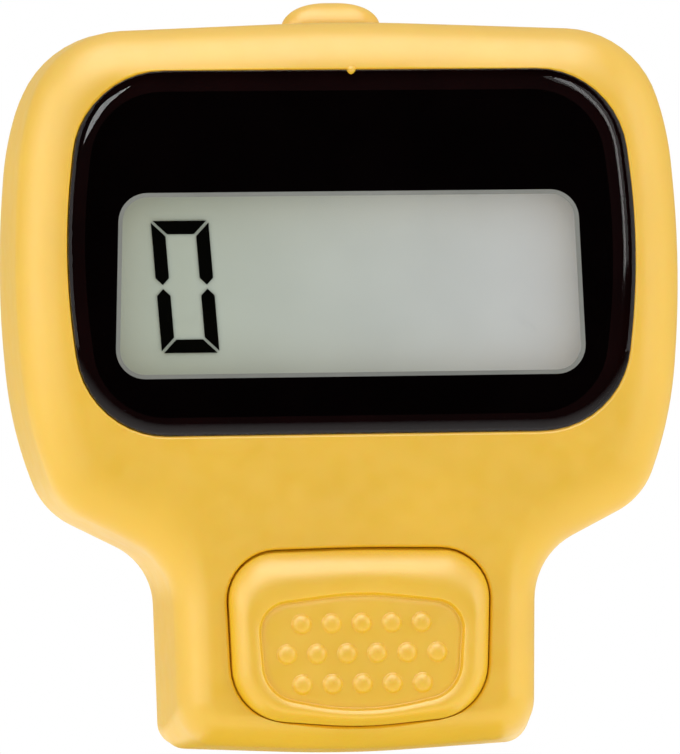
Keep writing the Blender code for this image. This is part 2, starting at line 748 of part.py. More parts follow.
def make_back_case(shop, yellow):
    corners = case_corners(NECK_END_BACK_RADIUS)
    parting = PARTING_DEPTH + SHELL_GAP
    inner_round = BACK_ROUND - BACK_WALL
    rings = [ring(filleted(corners, SIDE_WALL + inner_round), back_shelf_depth())]
    rings.append(ring(filleted(corners, SIDE_WALL + PARTING_STEP), back_shelf_depth() - MM))
    rings.append(ring(filleted(corners, SIDE_WALL + PARTING_STEP), parting))
    rings.append(ring(filleted(corners, PARTING_STEP), parting))
    for step in range(LOFT_STEPS + 1):
        angle = math.pi / 2 * step / LOFT_STEPS
        inset = PARTING_STEP + BACK_ROUND * (1.0 - math.cos(angle))
        depth = CASE_THICKNESS - BACK_ROUND * (1.0 - math.sin(angle))
        rings.append(ring(filleted(corners, inset), depth))
    case = shop.part("back_case", loft("back_case", rings), yellow)

    shelf = back_shelf_depth()
    door = door_corners()
    rooted = shelf + ROOT_OVERLAP
    pad = prism("door_pad", door, door_seat_depth() - DOOR_LEDGE, rooted, -DOOR_LEDGE / 2)
    shop.cut(case, pad, "UNION")
    well_radius = CELL_RADIUS + CELL_CLEARANCE
    well_front = CELL_DEPTH + WELL_RECESS
    well_outer = well_radius + WELL_WALL
    well = cylinder_mesh("well_wall", 0.0, CELL_HEIGHT_CENTRE, well_outer, well_front, rooted, CELL_SEGMENTS)
    shop.cut(case, well, "UNION")
    boss_front = door_seat_depth() - DOOR_BOSS_LENGTH
    boss = cylinder_mesh("door_boss", 0.0, DOOR_SCREW_HEIGHT, DOOR_BOSS_RADIUS, boss_front, rooted)
    shop.cut(case, boss, "UNION")
    for index, (x, z) in enumerate(case_screw_places()):
        radius = CASE_SCREW_HEAD_RADIUS + SCREW_HOLE_GAP + SINK_WALL
        boss = cylinder_mesh(f"back_boss_{index + 1}", x, z, radius, parting + BOSS_RECESS, rooted)
        shop.cut(case, boss, "UNION")
    add_keepers(shop, case)

    outside = CASE_THICKNESS + MM
    start = well_front - MM
    bore = cylinder_mesh("well_bore", 0.0, CELL_HEIGHT_CENTRE, well_radius, start, outside, CELL_SEGMENTS)
    shop.cut(case, bore)
    shop.cut(case, prism("door_recess", door, door_seat_depth(), CASE_THICKNESS + MM, -DOOR_CLEARANCE))
    pilot_radius = DOOR_SCREW_RADIUS + SCREW_HOLE_GAP
    pilot_front = boss_front + DOOR_PILOT_FLOOR
    pilot = cylinder_mesh("door_pilot", 0.0, DOOR_SCREW_HEIGHT, pilot_radius, pilot_front, outside)
    shop.cut(case, pilot)
    slot_half = CONTACT_WIDTH / 2 + CONTACT_ROOM
    slot_low = (CELL_RADIUS - MM, depth_to_y(well_front - MM), CELL_HEIGHT_CENTRE - slot_half)
    slot_back = depth_to_y(door_seat_depth() - DOOR_LEDGE)
    slot_high = (well_outer + CONTACT_ROOM, slot_back, CELL_HEIGHT_CENTRE + slot_half)
    shop.cut(case, box_mesh("contact_slot", slot_low, slot_high))
    for index, (x, z) in enumerate(case_screw_places()):
        hole_radius = CASE_SCREW_RADIUS + SCREW_HOLE_GAP
        hole = cylinder_mesh(f"screw_hole_{index + 1}", x, z, hole_radius, parting - MM, CASE_THICKNESS + MM)
        shop.cut(case, hole)
        head_front = case_screw_head_depth() - SEAT_GAP
        sink_radius = CASE_SCREW_HEAD_RADIUS + SCREW_HOLE_GAP
        sink = cylinder_mesh(f"screw_sink_{index + 1}", x, z, sink_radius, head_front, CASE_THICKNESS + MM)
        shop.cut(case, sink)
    low = TOP_HEIGHT - 2 * SIDE_WALL
    shop.cut(case, reset_hole_prism("reset_hole_back", RESET_CLEARANCE, low, TOP_HEIGHT + RESET_HOLE_RISE))


def case_screw_head_depth():
    return CASE_THICKNESS - CASE_SCREW_SINK - CASE_SCREW_HEAD_HEIGHT


def add_keepers(shop, case):
    """Two bridges on the back that the strap passes under."""
    back = CASE_THICKNESS
    bar_front = back + 2 * KEEPER_CLEARANCE + STRAP_THICKNESS
    half_span = STRAP_WIDTH / 2 + KEEPER_SIDE_CLEARANCE + KEEPER_POST
    for side, label in ((-1, "left"), (1, "right")):
        x_low = side * KEEPER_CENTRE_X - KEEPER_WIDTH / 2
        x_high = side * KEEPER_CENTRE_X + KEEPER_WIDTH / 2
        low = (x_low, depth_to_y(back - KEEPER_ROOT), -half_span)
        high = (x_high, depth_to_y(bar_front + KEEPER_THICKNESS), half_span)
        keeper = box_mesh(f"keeper_{label}", low, high)
        shop.cut(case, keeper, "UNION")
        low = (x_low - MM, depth_to_y(back), -half_span + KEEPER_POST)
        high = (x_high + MM, depth_to_y(bar_front), half_span - KEEPER_POST)
        shop.cut(case, box_mesh(f"keeper_gap_{label}", low, high))


def door_corners():
    return block_corners(DOOR_HALF_WIDTH, DOOR_LOW_HEIGHT, DOOR_TOP_HEIGHT, DOOR_CORNER_RADIUS)


def make_battery_door(shop, yellow, steel):
    origin = (0.0, depth_to_y(CASE_THICKNESS), DOOR_SCREW_HEIGHT)
    front = CASE_THICKNESS - DOOR_THICKNESS
    plate = prism("battery_door", door_corners(), front, CASE_THICKNESS)
    door = shop.part("battery_door", plate, yellow, origin)
    plug_front = CELL_DEPTH + CELL_THICKNESS + SEAT_GAP
    plug_radius = CELL_RADIUS - DOOR_PLUG_MARGIN
    plug_back = front + ROOT_OVERLAP
    plug = cylinder_mesh("door_plug", 0.0, CELL_HEIGHT_CENTRE, plug_radius, plug_front, plug_back)
    shop.cut(door, plug, "UNION")
    hole_radius = DOOR_SCREW_RADIUS + SCREW_HOLE_GAP
    hole_back = CASE_THICKNESS + MM
    hole = cylinder_mesh("door_screw_hole", 0.0, DOOR_SCREW_HEIGHT, hole_radius, front - MM, hole_back)
    shop.cut(door, hole)
    head_depth = CASE_THICKNESS - DOOR_SCREW_HEAD_HEIGHT
    sink_radius = DOOR_SCREW_HEAD_RADIUS + SCREW_HOLE_GAP
    sink = cylinder_mesh(
        "door_screw_sink", 0.0, DOOR_SCREW_HEIGHT, sink_radius, head_depth - SEAT_GAP, CASE_THICKNESS + MM
    )
    shop.cut(door, sink)
    screw = (DOOR_SCREW_RADIUS, DOOR_SCREW_LENGTH, DOOR_SCREW_HEAD_RADIUS, DOOR_SCREW_HEAD_HEIGHT)
    make_screw(shop, "battery_door_screw", (0.0, DOOR_SCREW_HEIGHT), head_depth, screw, steel)


def make_screw(shop, name, place, head_depth, sizes, material):
    """A pan screw driven from the back, with a cross recess in its head."""
    radius, length, head_radius, head_height = sizes
    x, z = place
    head_back = head_depth + head_height
    profile = (
        (radius * SCREW_TIP_SHARE, head_depth - length),
        (radius, head_depth - length + radius * SCREW_TIP_SHARE),
        (radius, head_depth),
        (head_radius, head_depth),
        (head_radius, head_back - head_height * HEAD_EDGE_SHARE),
        (head_radius * HEAD_TOP_SHARE, head_back),
    )
    place_matrix = Matrix.Translation((x, FRONT_FACE_Y, z)) @ Matrix.Rotation(-math.pi / 2, 4, "X")
    screw = shop.part(name, turned(name, profile, SMALL_SEGMENTS, place_matrix), material)
    bar_length = head_radius * RECESS_LENGTH_SHARE
    bar_width = head_radius * RECESS_WIDTH_SHARE
    recess = head_back - head_height * RECESS_DEPTH_SHARE
    for axis_label, half_x, half_z in (("a", bar_length, bar_width), ("b", bar_width, bar_length)):
        low = (x - half_x, depth_to_y(recess), z - half_z)
        high = (x + half_x, depth_to_y(head_back + MM), z + half_z)
        shop.cut(screw, box_mesh(f"{name}_recess_{axis_label}", low, high))


def make_case_screws(shop, steel):
    sizes = (CASE_SCREW_RADIUS, CASE_SCREW_LENGTH, CASE_SCREW_HEAD_RADIUS, CASE_SCREW_HEAD_HEIGHT)
    for index, place in enumerate(case_screw_places()):
        make_screw(shop, f"case_screw_{index + 1}", place, case_screw_head_depth(), sizes, steel)


def make_board_screws(shop, steel):
    sizes = (BOARD_SCREW_RADIUS, BOARD_SCREW_LENGTH, BOARD_SCREW_HEAD_RADIUS, BOARD_SCREW_HEAD_HEIGHT)
    for index, place in enumerate(board_screw_places()):
        make_screw(shop, f"board_screw_{index + 1}", place, board_back() + SEAT_GAP, sizes, steel)


def make_lens(shop, clear, black):
    back = LENS_THICKNESS - LENS_PROUD
    mesh = rounded_prism("display_lens", lens_corners(), -LENS_PROUD, back, LENS_EDGE_ROUND)
    shop.part("display_lens", mesh, clear)
    mask_front = back + SEAT_GAP / 2
    mask = prism("lens_mask", lens_corners(), mask_front, mask_front + MASK_THICKNESS, MASK_FIT)
    mask_part = shop.part("lens_mask", mask, black)
    shop.cut(mask_part, prism("mask_window", window_corners(), mask_front - MM, mask_front + MM))


def make_display(shop, glass, silver, black, rubber):
    depths = display_depths()
    half_width, low, high = glass_edges()
    rear_low = low + CONTACT_LEDGE
    for name, material, bottom in (
        ("lcd_front_polarizer", glass, rear_low),
        ("lcd_front_glass", glass, low),
        ("lcd_rear_glass", glass, rear_low),
        ("lcd_reflector", silver, rear_low),
    ):
        corners = block_corners(half_width, bottom, high, GLASS_CORNER_RADIUS)
        shop.part(name, prism(name, corners, *depths[name]), material)

    inner = SEAT_GAP
    rim = inner + FRAME_WALL
    outer = block_corners(half_width + rim, low - rim, high + rim, FRAME_CORNER_RADIUS)
    frame_front = FRONT_WALL + SEAT_GAP
    frame_back = BOARD_DEPTH - SEAT_GAP
    frame = shop.part("lcd_frame", prism("lcd_frame", outer, frame_front, frame_back), black)
    reflector_back = depths["lcd_reflector"][1] + SEAT_GAP
    seat = block_corners(half_width + inner, low - inner, high + inner, GLASS_CORNER_RADIUS)
    shop.cut(frame, prism("frame_seat", seat, frame_front - MM, reflector_back))
    rear = block_corners(half_width - FRAME_RAIL, low - inner, high - FRAME_RAIL, GLASS_CORNER_RADIUS)
    shop.cut(frame, prism("frame_rear_opening", rear, frame_front - MM, frame_back + MM))

    strip_half = half_width - FRAME_RAIL - STRIP_SIDE_GAP
    strip_low = (-strip_half, depth_to_y(depths["lcd_front_glass"][1] + SEAT_GAP), low + STRIP_EDGE_GAP)
    strip_high = (strip_half, depth_to_y(BOARD_DEPTH - SEAT_GAP), rear_low - STRIP_EDGE_GAP)
    shop.part("zebra_strip", box_mesh("zebra_strip", strip_low, strip_high), rubber)


def segment_outlines():
    """The six bars of the digit 0 as corner lists, before the digit leans."""
    half_width = DIGIT_WIDTH / 2
    half_height = DIGIT_HEIGHT / 2
    stroke = STROKE_WIDTH
    space = SEGMENT_SPACE / 2
    tip = stroke / 2
    top = [
        (-half_width + space, half_height),
        (half_width - space, half_height),
        (half_width - stroke - space, half_height - stroke),
        (-half_width + stroke + space, half_height - stroke),
    ]
    right_top = [
        (half_width, half_height - space),
        (half_width, tip + space),
        (half_width - tip, space),
        (half_width - stroke, tip + space),
        (half_width - stroke, half_height - stroke - space),
    ]
    return {
        "lcd_segment_a": top,
        "lcd_segment_b": right_top,
        "lcd_segment_c": [(x, -z) for x, z in reversed(right_top)],
        "lcd_segment_d": [(x, -z) for x, z in reversed(top)],
        "lcd_segment_e": [(-x, -z) for x, z in right_top],
        "lcd_segment_f": [(-x, z) for x, z in reversed(right_top)],
    }


def make_segments(shop, black):
    front, back = display_depths()["lcd_segments"]
    left = -WINDOW_TOP_HALF_WIDTH + DIGIT_LEFT_MARGIN
    centre_x = left + DIGIT_WIDTH / 2
    centre_z = window_centre() + WINDOW_HALF_HEIGHT - DIGIT_TOP_MARGIN - DIGIT_HEIGHT / 2
    for name, outline in segment_outlines().items():
        points = [(centre_x + x + z * math.tan(DIGIT_LEAN), centre_z + z) for x, z in outline]
        shop.part(name, loft(name, [ring(points, front), ring(points, back)]), black)


def make_board(shop, green, black, tan, silver):
    board = prism("circuit_board", case_corners(), BOARD_DEPTH, board_back(), SIDE_WALL + BOARD_CLEARANCE)
    board_part = shop.part("circuit_board", board, green)
    for index, (x, z) in enumerate(case_screw_places()):
        radius = CASE_BOSS_RADIUS + BOARD_CLEARANCE / 2
        reach = WIDEST_HALF_WIDTH if x > 0 else -WIDEST_HALF_WIDTH
        hole = cylinder_mesh(f"boss_hole_{index + 1}", x, z, radius, BOARD_DEPTH - MM, board_back() + MM)
        shop.cut(board_part, hole)
        x_edges = sorted((x, reach))
        low = (x_edges[0], depth_to_y(BOARD_DEPTH - MM), z - radius * NOTCH_SHARE)
        high = (x_edges[1], depth_to_y(board_back() + MM), z + radius * NOTCH_SHARE)
        shop.cut(board_part, box_mesh(f"boss_notch_{index + 1}", low, high))
    for index, (x, z) in enumerate(board_screw_places()):
        name = f"board_hole_{index + 1}"
        hole = cylinder_mesh(name, x, z, BOARD_HOLE_RADIUS, BOARD_DEPTH - MM, board_back() + MM)
        shop.cut(board_part, hole)

    front = board_back() + SEAT_GAP
    profile = []
    for step in range(LOFT_STEPS):
        angle = math.pi / 2 * step / LOFT_STEPS
        profile.append((CHIP_RADIUS * math.cos(angle), CHIP_HEIGHT * math.sin(angle)))
    profile.append((CHIP_RADIUS * CHIP_TOP_SHARE, CHIP_HEIGHT))
    base = Matrix.Translation((CHIP_X, depth_to_y(front), CHIP_HEIGHT_ON_BOARD))
    place = base @ Matrix.Rotation(-math.pi / 2, 4, "X")
    shop.part("chip_blob", turned("chip_blob", profile, SMALL_SEGMENTS * 2, place), black)
    small_parts = (("capacitor", CAPACITOR_HEIGHT, tan), ("resistor", RESISTOR_HEIGHT, silver))
    for name, height, material in small_parts:
        low = (SMALL_PART_X, depth_to_y(front), height)
        high = (
            SMALL_PART_X + SMALL_PART_LENGTH,
            depth_to_y(front + SMALL_PART_THICKNESS),
            height + SMALL_PART_WIDTH,
        )
        shop.part(name, box_mesh(name, low, high), material)


def make_count_button(shop, yellow):
    origin = (0.0, depth_to_y(-BUTTON_PROUD), BUTTON_HEIGHT_CENTRE)
    flange_front = BUTTON_WALL + SEAT_GAP
    flange_back = flange_front + BUTTON_FLANGE_THICKNESS
    mesh = rounded_prism("count_button", button_corners(), -BUTTON_PROUD, flange_back, BUTTON_EDGE_ROUND)
    button = shop.part("count_button", mesh, yellow, origin)
    flange = prism("button_flange", button_corners(), flange_front, flange_back, -BUTTON_FLANGE)
    shop.cut(button, flange, "UNION")
    stem_front = flange_back - ROOT_OVERLAP
    stem_back = switch_plunger_depth() - STEM_GAP
    stem = cylinder_mesh("button_stem", 0.0, BUTTON_HEIGHT_CENTRE, BUTTON_STEM_RADIUS, stem_front, stem_back)
    shop.cut(button, stem, "UNION")
    floor = -BUTTON_PROUD + PANEL_DEPTH
    panel = loft("button_panel", [
        ring(filleted(panel_corners(), -PANEL_DEPTH), -BUTTON_PROUD - PANEL_DEPTH),
        ring(filleted(panel_corners(), PANEL_DEPTH), floor),
    ])
    shop.cut(button, panel)
    shop.cut(button, grip_dots(floor), "UNION")


def grip_dot_places():
    middle = BUTTON_HEIGHT_CENTRE - PANEL_DROP
    places = []
    for row in range(GRIP_DOT_ROWS):
        columns = GRIP_DOT_COLUMNS if row % 2 == 0 else GRIP_DOT_COLUMNS + 1
        for column in range(columns):
            x = (column - (columns - 1) / 2) * GRIP_DOT_PITCH
            z = middle + ((GRIP_DOT_ROWS - 1) / 2 - row) * GRIP_DOT_PITCH
            places.append((x, z))
    return places


def grip_dots(floor):
    """Staggered rows of raised dots on the button's panel, as one tool."""
    form = bmesh.new()
    length = GRIP_DOT_HEIGHT * 2
    turn = Matrix.Rotation(-math.pi / 2, 4, "X")
    for x, z in grip_dot_places():
        place = Matrix.Translation((x, depth_to_y(floor + GRIP_DOT_HEIGHT - length / 2), z)) @ turn
        bmesh.ops.create_cone(
            form,
            cap_ends=True,
            segments=DOT_SEGMENTS,
            radius1=GRIP_DOT_RADIUS * DOT_TOP_SHARE,
            radius2=GRIP_DOT_RADIUS * DOT_ROOT_SHARE,
            depth=length,
            matrix=place,
        )
    return finish_mesh("grip_dots", form)


def switch_plunger_depth():
    """Depth of the count switch's plunger tip, in front of the board."""
    return BUTTON_WALL + SEAT_GAP + BUTTON_FLANGE_THICKNESS + COUNT_PLUNGER_ROOM


def make_reset_button(shop, yellow):
    flange_low = reset_flange_low()
    flange_top = flange_low + RESET_FLANGE_THICKNESS
    top = TOP_HEIGHT + RESET_PROUD
    layers = [[(x, y, flange_low) for x, y in filleted(reset_corners())]]
    for step in range(LOFT_STEPS + 1):
        angle = math.pi / 2 * step / LOFT_STEPS
        inset = RESET_EDGE_ROUND * (1.0 - math.cos(angle))
        height = top - RESET_EDGE_ROUND * (1.0 - math.sin(angle))
        layers.append([(x, y, height) for x, y in filleted(reset_corners(), inset)])
    origin = (0.0, depth_to_y(RESET_DEPTH), top)
    button = shop.part("reset_button", loft("reset_button", layers), yellow, origin)
    shop.cut(button, reset_hole_prism("reset_flange", RESET_FLANGE, flange_low, flange_top), "UNION")


def make_switch(shop, prefix, size, base, materials):
    """A push switch in its own frame: base on Z = 0, plunger along +Z, placed by a matrix."""
    dark, steel, plunger_material = materials
    body_top = SWITCH_HEIGHT
    cavity_radius = size / 2 - SWITCH_WALL
    cover_low = body_top + SEAT_GAP / 2
    cover_high = cover_low + SWITCH_COVER
    body = placed_box(f"{prefix}_body", size, 0.0, body_top, base)
    body_part = shop.part(f"{prefix}_body", body, dark)
    bore_profile = ((cavity_radius, SWITCH_FLOOR), (cavity_radius, body_top + MM))
    shop.cut(body_part, turned(f"{prefix}_bore", bore_profile, ROUND_SEGMENTS, base))
    cover = placed_box(f"{prefix}_cover", size, cover_low, cover_high, base)
    cover_part = shop.part(f"{prefix}_cover", cover, steel)
    hole_radius = PLUNGER_RADIUS + PLUNGER_FIT
    hole_profile = ((hole_radius, cover_low - MM), (hole_radius, cover_high + MM))
    shop.cut(cover_part, turned(f"{prefix}_cover_hole", hole_profile, ROUND_SEGMENTS, base))

    flange_top = cover_low - SEAT_GAP
    flange_low = flange_top - PLUNGER_FLANGE_THICKNESS
    tip = plunger_tip_height(prefix)
    profile = (
        (PLUNGER_RADIUS * FOOT_SHARE, flange_low - PLUNGER_CHAMFER),
        (PLUNGER_FLANGE_RADIUS, flange_low),
        (PLUNGER_FLANGE_RADIUS, flange_top),
        (PLUNGER_RADIUS, flange_top),
        (PLUNGER_RADIUS, tip - PLUNGER_CHAMFER),
        (PLUNGER_RADIUS - PLUNGER_CHAMFER, tip),
    )
    plunger = turned(f"{prefix}_plunger", profile, ROUND_SEGMENTS, base)
    shop.part(f"{prefix}_plunger", plunger, plunger_material, base @ Vector((0.0, 0.0, tip)))

    dome_base = SWITCH_FLOOR + SEAT_GAP / 2
    upper = []
    for radius_share, rise_share in DOME_SHARES:
        upper.append((DOME_RADIUS * radius_share, dome_base + DOME_THICKNESS + DOME_RISE * rise_share))
    lower = [(radius, height - DOME_THICKNESS) for radius, height in reversed(upper)]
    dome_mesh = turned(f"{prefix}_dome", upper + lower, SMALL_SEGMENTS, base)
    shop.part(f"{prefix}_dome", dome_mesh, steel)


def placed_box(name, size, low, high, base):
    mesh = box_mesh(name, (-size / 2, -size / 2, low), (size / 2, size / 2, high))
    mesh.transform(base)
    return mesh


def reset_flange_low():
    """Z of the underside of the reset button's flange, with the stepped back shell above it."""
    ceiling = TOP_HEIGHT - SIDE_WALL - PARTING_STEP
    return ceiling - RESET_CLEARANCE - RESET_FLANGE_THICKNESS


def plunger_tip_height(prefix):
    """How far the plunger's tip stands above the base of its switch."""
    if prefix == "count_switch":
        return BOARD_DEPTH - SEAT_GAP - switch_plunger_depth()
    return reset_flange_low() - STEM_GAP - reset_switch_base()


def reset_switch_base():
    """Z of the underside of the reset switch."""
    cover_room = RESET_TRAVEL + SWITCH_COVER + RESET_COVER_GAP
    return reset_flange_low() - STEM_GAP - cover_room - SWITCH_HEIGHT


def make_switches(shop, dark, steel, plunger_material):
    materials = (dark, steel, plunger_material)
    toward_front = Matrix.Rotation(math.pi / 2, 4, "X")
    board_face = (0.0, depth_to_y(BOARD_DEPTH - SEAT_GAP), BUTTON_HEIGHT_CENTRE)
    count_base = Matrix.Translation(board_face) @ toward_front
    make_switch(shop, "count_switch", COUNT_SWITCH_SIZE, count_base, materials)
    reset_base = Matrix.Translation((0.0, depth_to_y(RESET_DEPTH), reset_switch_base()))
    make_switch(shop, "reset_switch", RESET_SWITCH_SIZE, reset_base, materials)


def make_battery(shop, steel, gasket_black):
    """A button cell: can, sealing ring and cap, with its cap towards the board."""
    centre = Matrix.Translation((0.0, FRONT_FACE_Y, CELL_HEIGHT_CENTRE))
    place = centre @ Matrix.Rotation(-math.pi / 2, 4, "X")
    front = CELL_DEPTH
    back = front + CELL_THICKNESS
    cavity = CELL_RADIUS - CELL_CAN_WALL
    can = (
        (cavity, front + CAN_RIM_DROP),
        (CELL_RADIUS - CAN_RIM_ROUND, front + CAN_RIM_DROP),
        (CELL_RADIUS, front + CAN_RIM_DROP + CAN_RIM_ROUND),
        (CELL_RADIUS, back - CAN_EDGE_ROUND),
        (CELL_RADIUS - CAN_EDGE_ROUND, back),
    )
    hollow_floor = back - CELL_CAN_WALL
    can_mesh = turned("battery_can", can, CELL_SEGMENTS, place)
    can_part = shop.part("battery_can", can_mesh, steel)
    bore = ((cavity, front), (cavity, hollow_floor))
    shop.cut(can_part, turned("battery_can_bore", bore, CELL_SEGMENTS, place))
    ring_outer = cavity - GASKET_GAP
    ring_inner = ring_outer - GASKET_WIDTH
    ring_back = hollow_floor - SEAT_GAP
    seal = ((ring_outer, front + GASKET_DROP), (ring_outer, ring_back))
    seal_mesh = turned("battery_gasket", seal, CELL_SEGMENTS, place)
    seal_part = shop.part("battery_gasket", seal_mesh, gasket_black)
    seal_bore = ((ring_inner, front - MM), (ring_inner, back + MM))
    shop.cut(seal_part, turned("battery_gasket_bore", seal_bore, CELL_SEGMENTS, place))
    cap_radius = ring_inner - GASKET_GAP
    cap = (
        (CELL_CAP_RADIUS - CAP_EDGE, front),
        (cap_radius, front + CAP_EDGE),
        (cap_radius, ring_back),
    )
    shop.part("battery_cap", turned("battery_cap", cap, CELL_SEGMENTS, place), steel)


def make_contacts(shop, gold):
    """Two leaf springs: one under the cell's cap, one against the side of its can."""
    half = CONTACT_WIDTH / 2
    board_face = board_back() + SEAT_GAP
    z_low = CELL_HEIGHT_CENTRE - half
    z_high = CELL_HEIGHT_CENTRE + half
    leaf_back = CELL_DEPTH - SEAT_GAP
    reach = CELL_CAP_RADIUS * LEAF_REACH_SHARE
    path = [
        (-reach, board_face),
        (-reach * LEAF_FOOT_SHARE, board_face),
        (reach * LEAF_TOUCH_SHARE, leaf_back - CONTACT_THICKNESS),
        (reach, (board_face + leaf_back) / 2 - CONTACT_THICKNESS / 2),
    ]
    leaf = strip_mesh("battery_contact_negative", path, z_low, z_high)
    shop.part("battery_contact_negative", leaf, gold)
    side_x = CELL_RADIUS + CONTACT_GAP + CONTACT_THICKNESS
    tip_depth = CELL_DEPTH + CELL_THICKNESS * CLIP_REACH_SHARE
    path = [(side_x - CONTACT_FOOT, board_face), (side_x, board_face), (side_x, tip_depth)]
    clip = strip_mesh("battery_contact_positive", path, z_low, z_high)
    shop.part("battery_contact_positive", clip, gold)


def strip_mesh(name, path, z_low, z_high):
    """A bent metal strip: a path in X and depth, thickened to its left side."""
    thick = offset_path(path, CONTACT_THICKNESS)
    outline = list(path) + list(reversed(thick))
    low = [(x, depth_to_y(depth), z_low) for x, depth in outline]
    high = [(x, depth_to_y(depth), z_high) for x, depth in outline]
    return loft(name, [low, high])


def offset_path(path, distance):
    """A copy of an open path moved sideways by a distance, with mitred bends."""
    points = [Vector(point) for point in path]
    moved = []
    for index, point in enumerate(points):
        before = points[max(index - 1, 0)]
        after = points[min(index + 1, len(points) - 1)]
        way_in = (point - before).normalized() if index > 0 else (after - point).normalized()
        way_out = (after - point).normalized() if index < len(points) - 1 else way_in
        side_in = Vector((-way_in.y, way_in.x))
        side_out = Vector((-way_out.y, way_out.x))
        mitre = (side_in + side_out).normalized()
        moved.append(tuple(point + mitre * (distance / mitre.dot(side_in))))
    return moved


def smooth_step(share):
    share = min(max(share, 0.0), 1.0)
    return share * share * (3.0 - 2.0 * share)


def layer_radius(angle):
    """Mid radius of the outer layer, which climbs over the inner end of the band."""
    share = (STEP_UP_ANGLE - angle) / (STEP_UP_ANGLE - STEP_TOP_ANGLE)
    return LOOP_RADIUS + (STRAP_THICKNESS + LAYER_GAP) * smooth_step(share)


def strap_path():
    """Middle line of the band, from its inner end round the back of the case to its outer end."""
    points = []
    angle = INNER_END_ANGLE
    while angle > 0.0:
        points.append((LOOP_RADIUS * math.cos(angle), LOOP_RADIUS * math.sin(angle)))
        angle -= BAND_STEP
    corner_x = LOOP_RADIUS - LOOP_CORNER_RADIUS
    corner_y = LOOP_FLAT_Y + LOOP_CORNER_RADIUS
    points.append((LOOP_RADIUS, 0.0))
    quarter = [math.pi / 2 * index / BEND_STEPS for index in range(BEND_STEPS + 1)]
    for turn in quarter:
        across = LOOP_CORNER_RADIUS * math.cos(turn)
        down = LOOP_CORNER_RADIUS * math.sin(turn)
        points.append((corner_x + across, corner_y - down))
    for turn in quarter:
        across = LOOP_CORNER_RADIUS * math.sin(turn)
        down = LOOP_CORNER_RADIUS * math.cos(turn)
        points.append((-corner_x - across, corner_y - down))
    angle = math.pi
    while angle > OUTER_END_ANGLE:
        radius = layer_radius(angle)
        points.append((radius * math.cos(angle), radius * math.sin(angle)))
        angle -= BAND_STEP * OUTER_STEP_SHARE
    end_radius = layer_radius(OUTER_END_ANGLE)
    points.append((end_radius * math.cos(OUTER_END_ANGLE), end_radius * math.sin(OUTER_END_ANGLE)))
    return points


def make_strap(shop, yellow_soft):
    path = strap_path()
    inner = offset_path(path, -STRAP_THICKNESS / 2)
    outer = offset_path(path, STRAP_THICKNESS / 2)
    outline = list(outer) + list(reversed(inner))
    half = STRAP_WIDTH / 2
    rings = [[(x, y, -half) for x, y in outline], [(x, y, half) for x, y in outline]]
    strap = shop.part("finger_strap", loft("finger_strap", rings), yellow_soft)
    outer_radius = LOOP_RADIUS + STRAP_THICKNESS + LAYER_GAP
    for index, angle in enumerate(HOLE_ANGLES):
        hole_start = outer_radius - STRAP_THICKNESS / 2 - LAYER_GAP * HOLE_START_SHARE
        hole_end = outer_radius + STRAP_THICKNESS
        profile = ((STRAP_HOLE_RADIUS, hole_start), (STRAP_HOLE_RADIUS, hole_end))
        shop.cut(strap, radial_peg(f"strap_hole_{index + 1}", angle, profile))
    for index, angle in enumerate(STUD_ANGLES):
        foot = LOOP_RADIUS
        shoulder = outer_radius + STRAP_THICKNESS / 2 + LAYER_GAP
        profile = (
            (STUD_RADIUS, foot),
            (STUD_RADIUS, shoulder),
            (STUD_HEAD_RADIUS, shoulder),
            (STUD_HEAD_RADIUS * STUD_EDGE_SHARE, shoulder + STUD_HEAD_HEIGHT * STUD_RISE_SHARE),
            (STUD_HEAD_RADIUS * STUD_TOP_SHARE, shoulder + STUD_HEAD_HEIGHT),
        )
        shop.cut(strap, radial_peg(f"strap_stud_{index + 1}", angle, profile), "UNION")


def radial_peg(name, angle, profile):
    """A turned peg that points out from the loop's centre."""
    outward = Matrix.Rotation(angle, 4, "Z") @ Matrix.Rotation(math.pi / 2, 4, "Y")
    return turned(name, profile, ROUND_SEGMENTS, outward)


def main():
    clear_scene()
    shop = Workshop()
    yellow = make_material("case_yellow", CASE_YELLOW, 0.42)
    soft_yellow = make_material("strap_yellow", CASE_YELLOW, 0.6)
    black = make_material("ink_black", INK_BLACK, 0.35)
    dark = make_material("switch_black", (0.02, 0.02, 0.02), 0.5)
    clear = make_material("clear_lens", (0.9, 0.9, 0.9), 0.03, transmission=1.0)
    glass = make_material("display_glass", (0.55, 0.58, 0.52), 0.15, transmission=0.6)
    silver = make_material("reflector_silver", (0.5, 0.53, 0.48), 0.4, metallic=0.6)
    steel = make_material("steel", (0.6, 0.6, 0.6), 0.3, metallic=1.0)
    gold = make_material("contact_gold", (0.8, 0.6, 0.25), 0.3, metallic=1.0)
    green = make_material("board_green", (0.02, 0.16, 0.06), 0.45)
    tan = make_material("ceramic_tan", (0.5, 0.35, 0.18), 0.5)
    rubber = make_material("strip_rubber", (0.3, 0.3, 0.32), 0.7)
    cream = make_material("plunger_cream", (0.8, 0.76, 0.62), 0.5)

    make_front_case(shop, yellow)
    make_back_case(shop, yellow)
    make_battery_door(shop, yellow, steel)
    make_case_screws(shop, steel)
    make_board_screws(shop, steel)
    make_lens(shop, clear, black)
    make_display(shop, glass, silver, black, rubber)
    make_segments(shop, black)
    make_board(shop, green, black, tan, silver)
    make_count_button(shop, yellow)
    make_reset_button(shop, yellow)
    make_switches(shop, dark, steel, cream)
    make_battery(shop, steel, dark)
    make_contacts(shop, gold)
    make_strap(shop, soft_yellow)


if __name__ == "__main__":
    main()
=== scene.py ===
import math

import bmesh
import bpy
from bpy.props import FloatProperty, FloatVectorProperty, IntProperty, PointerProperty
from mathutils import Matrix, Vector


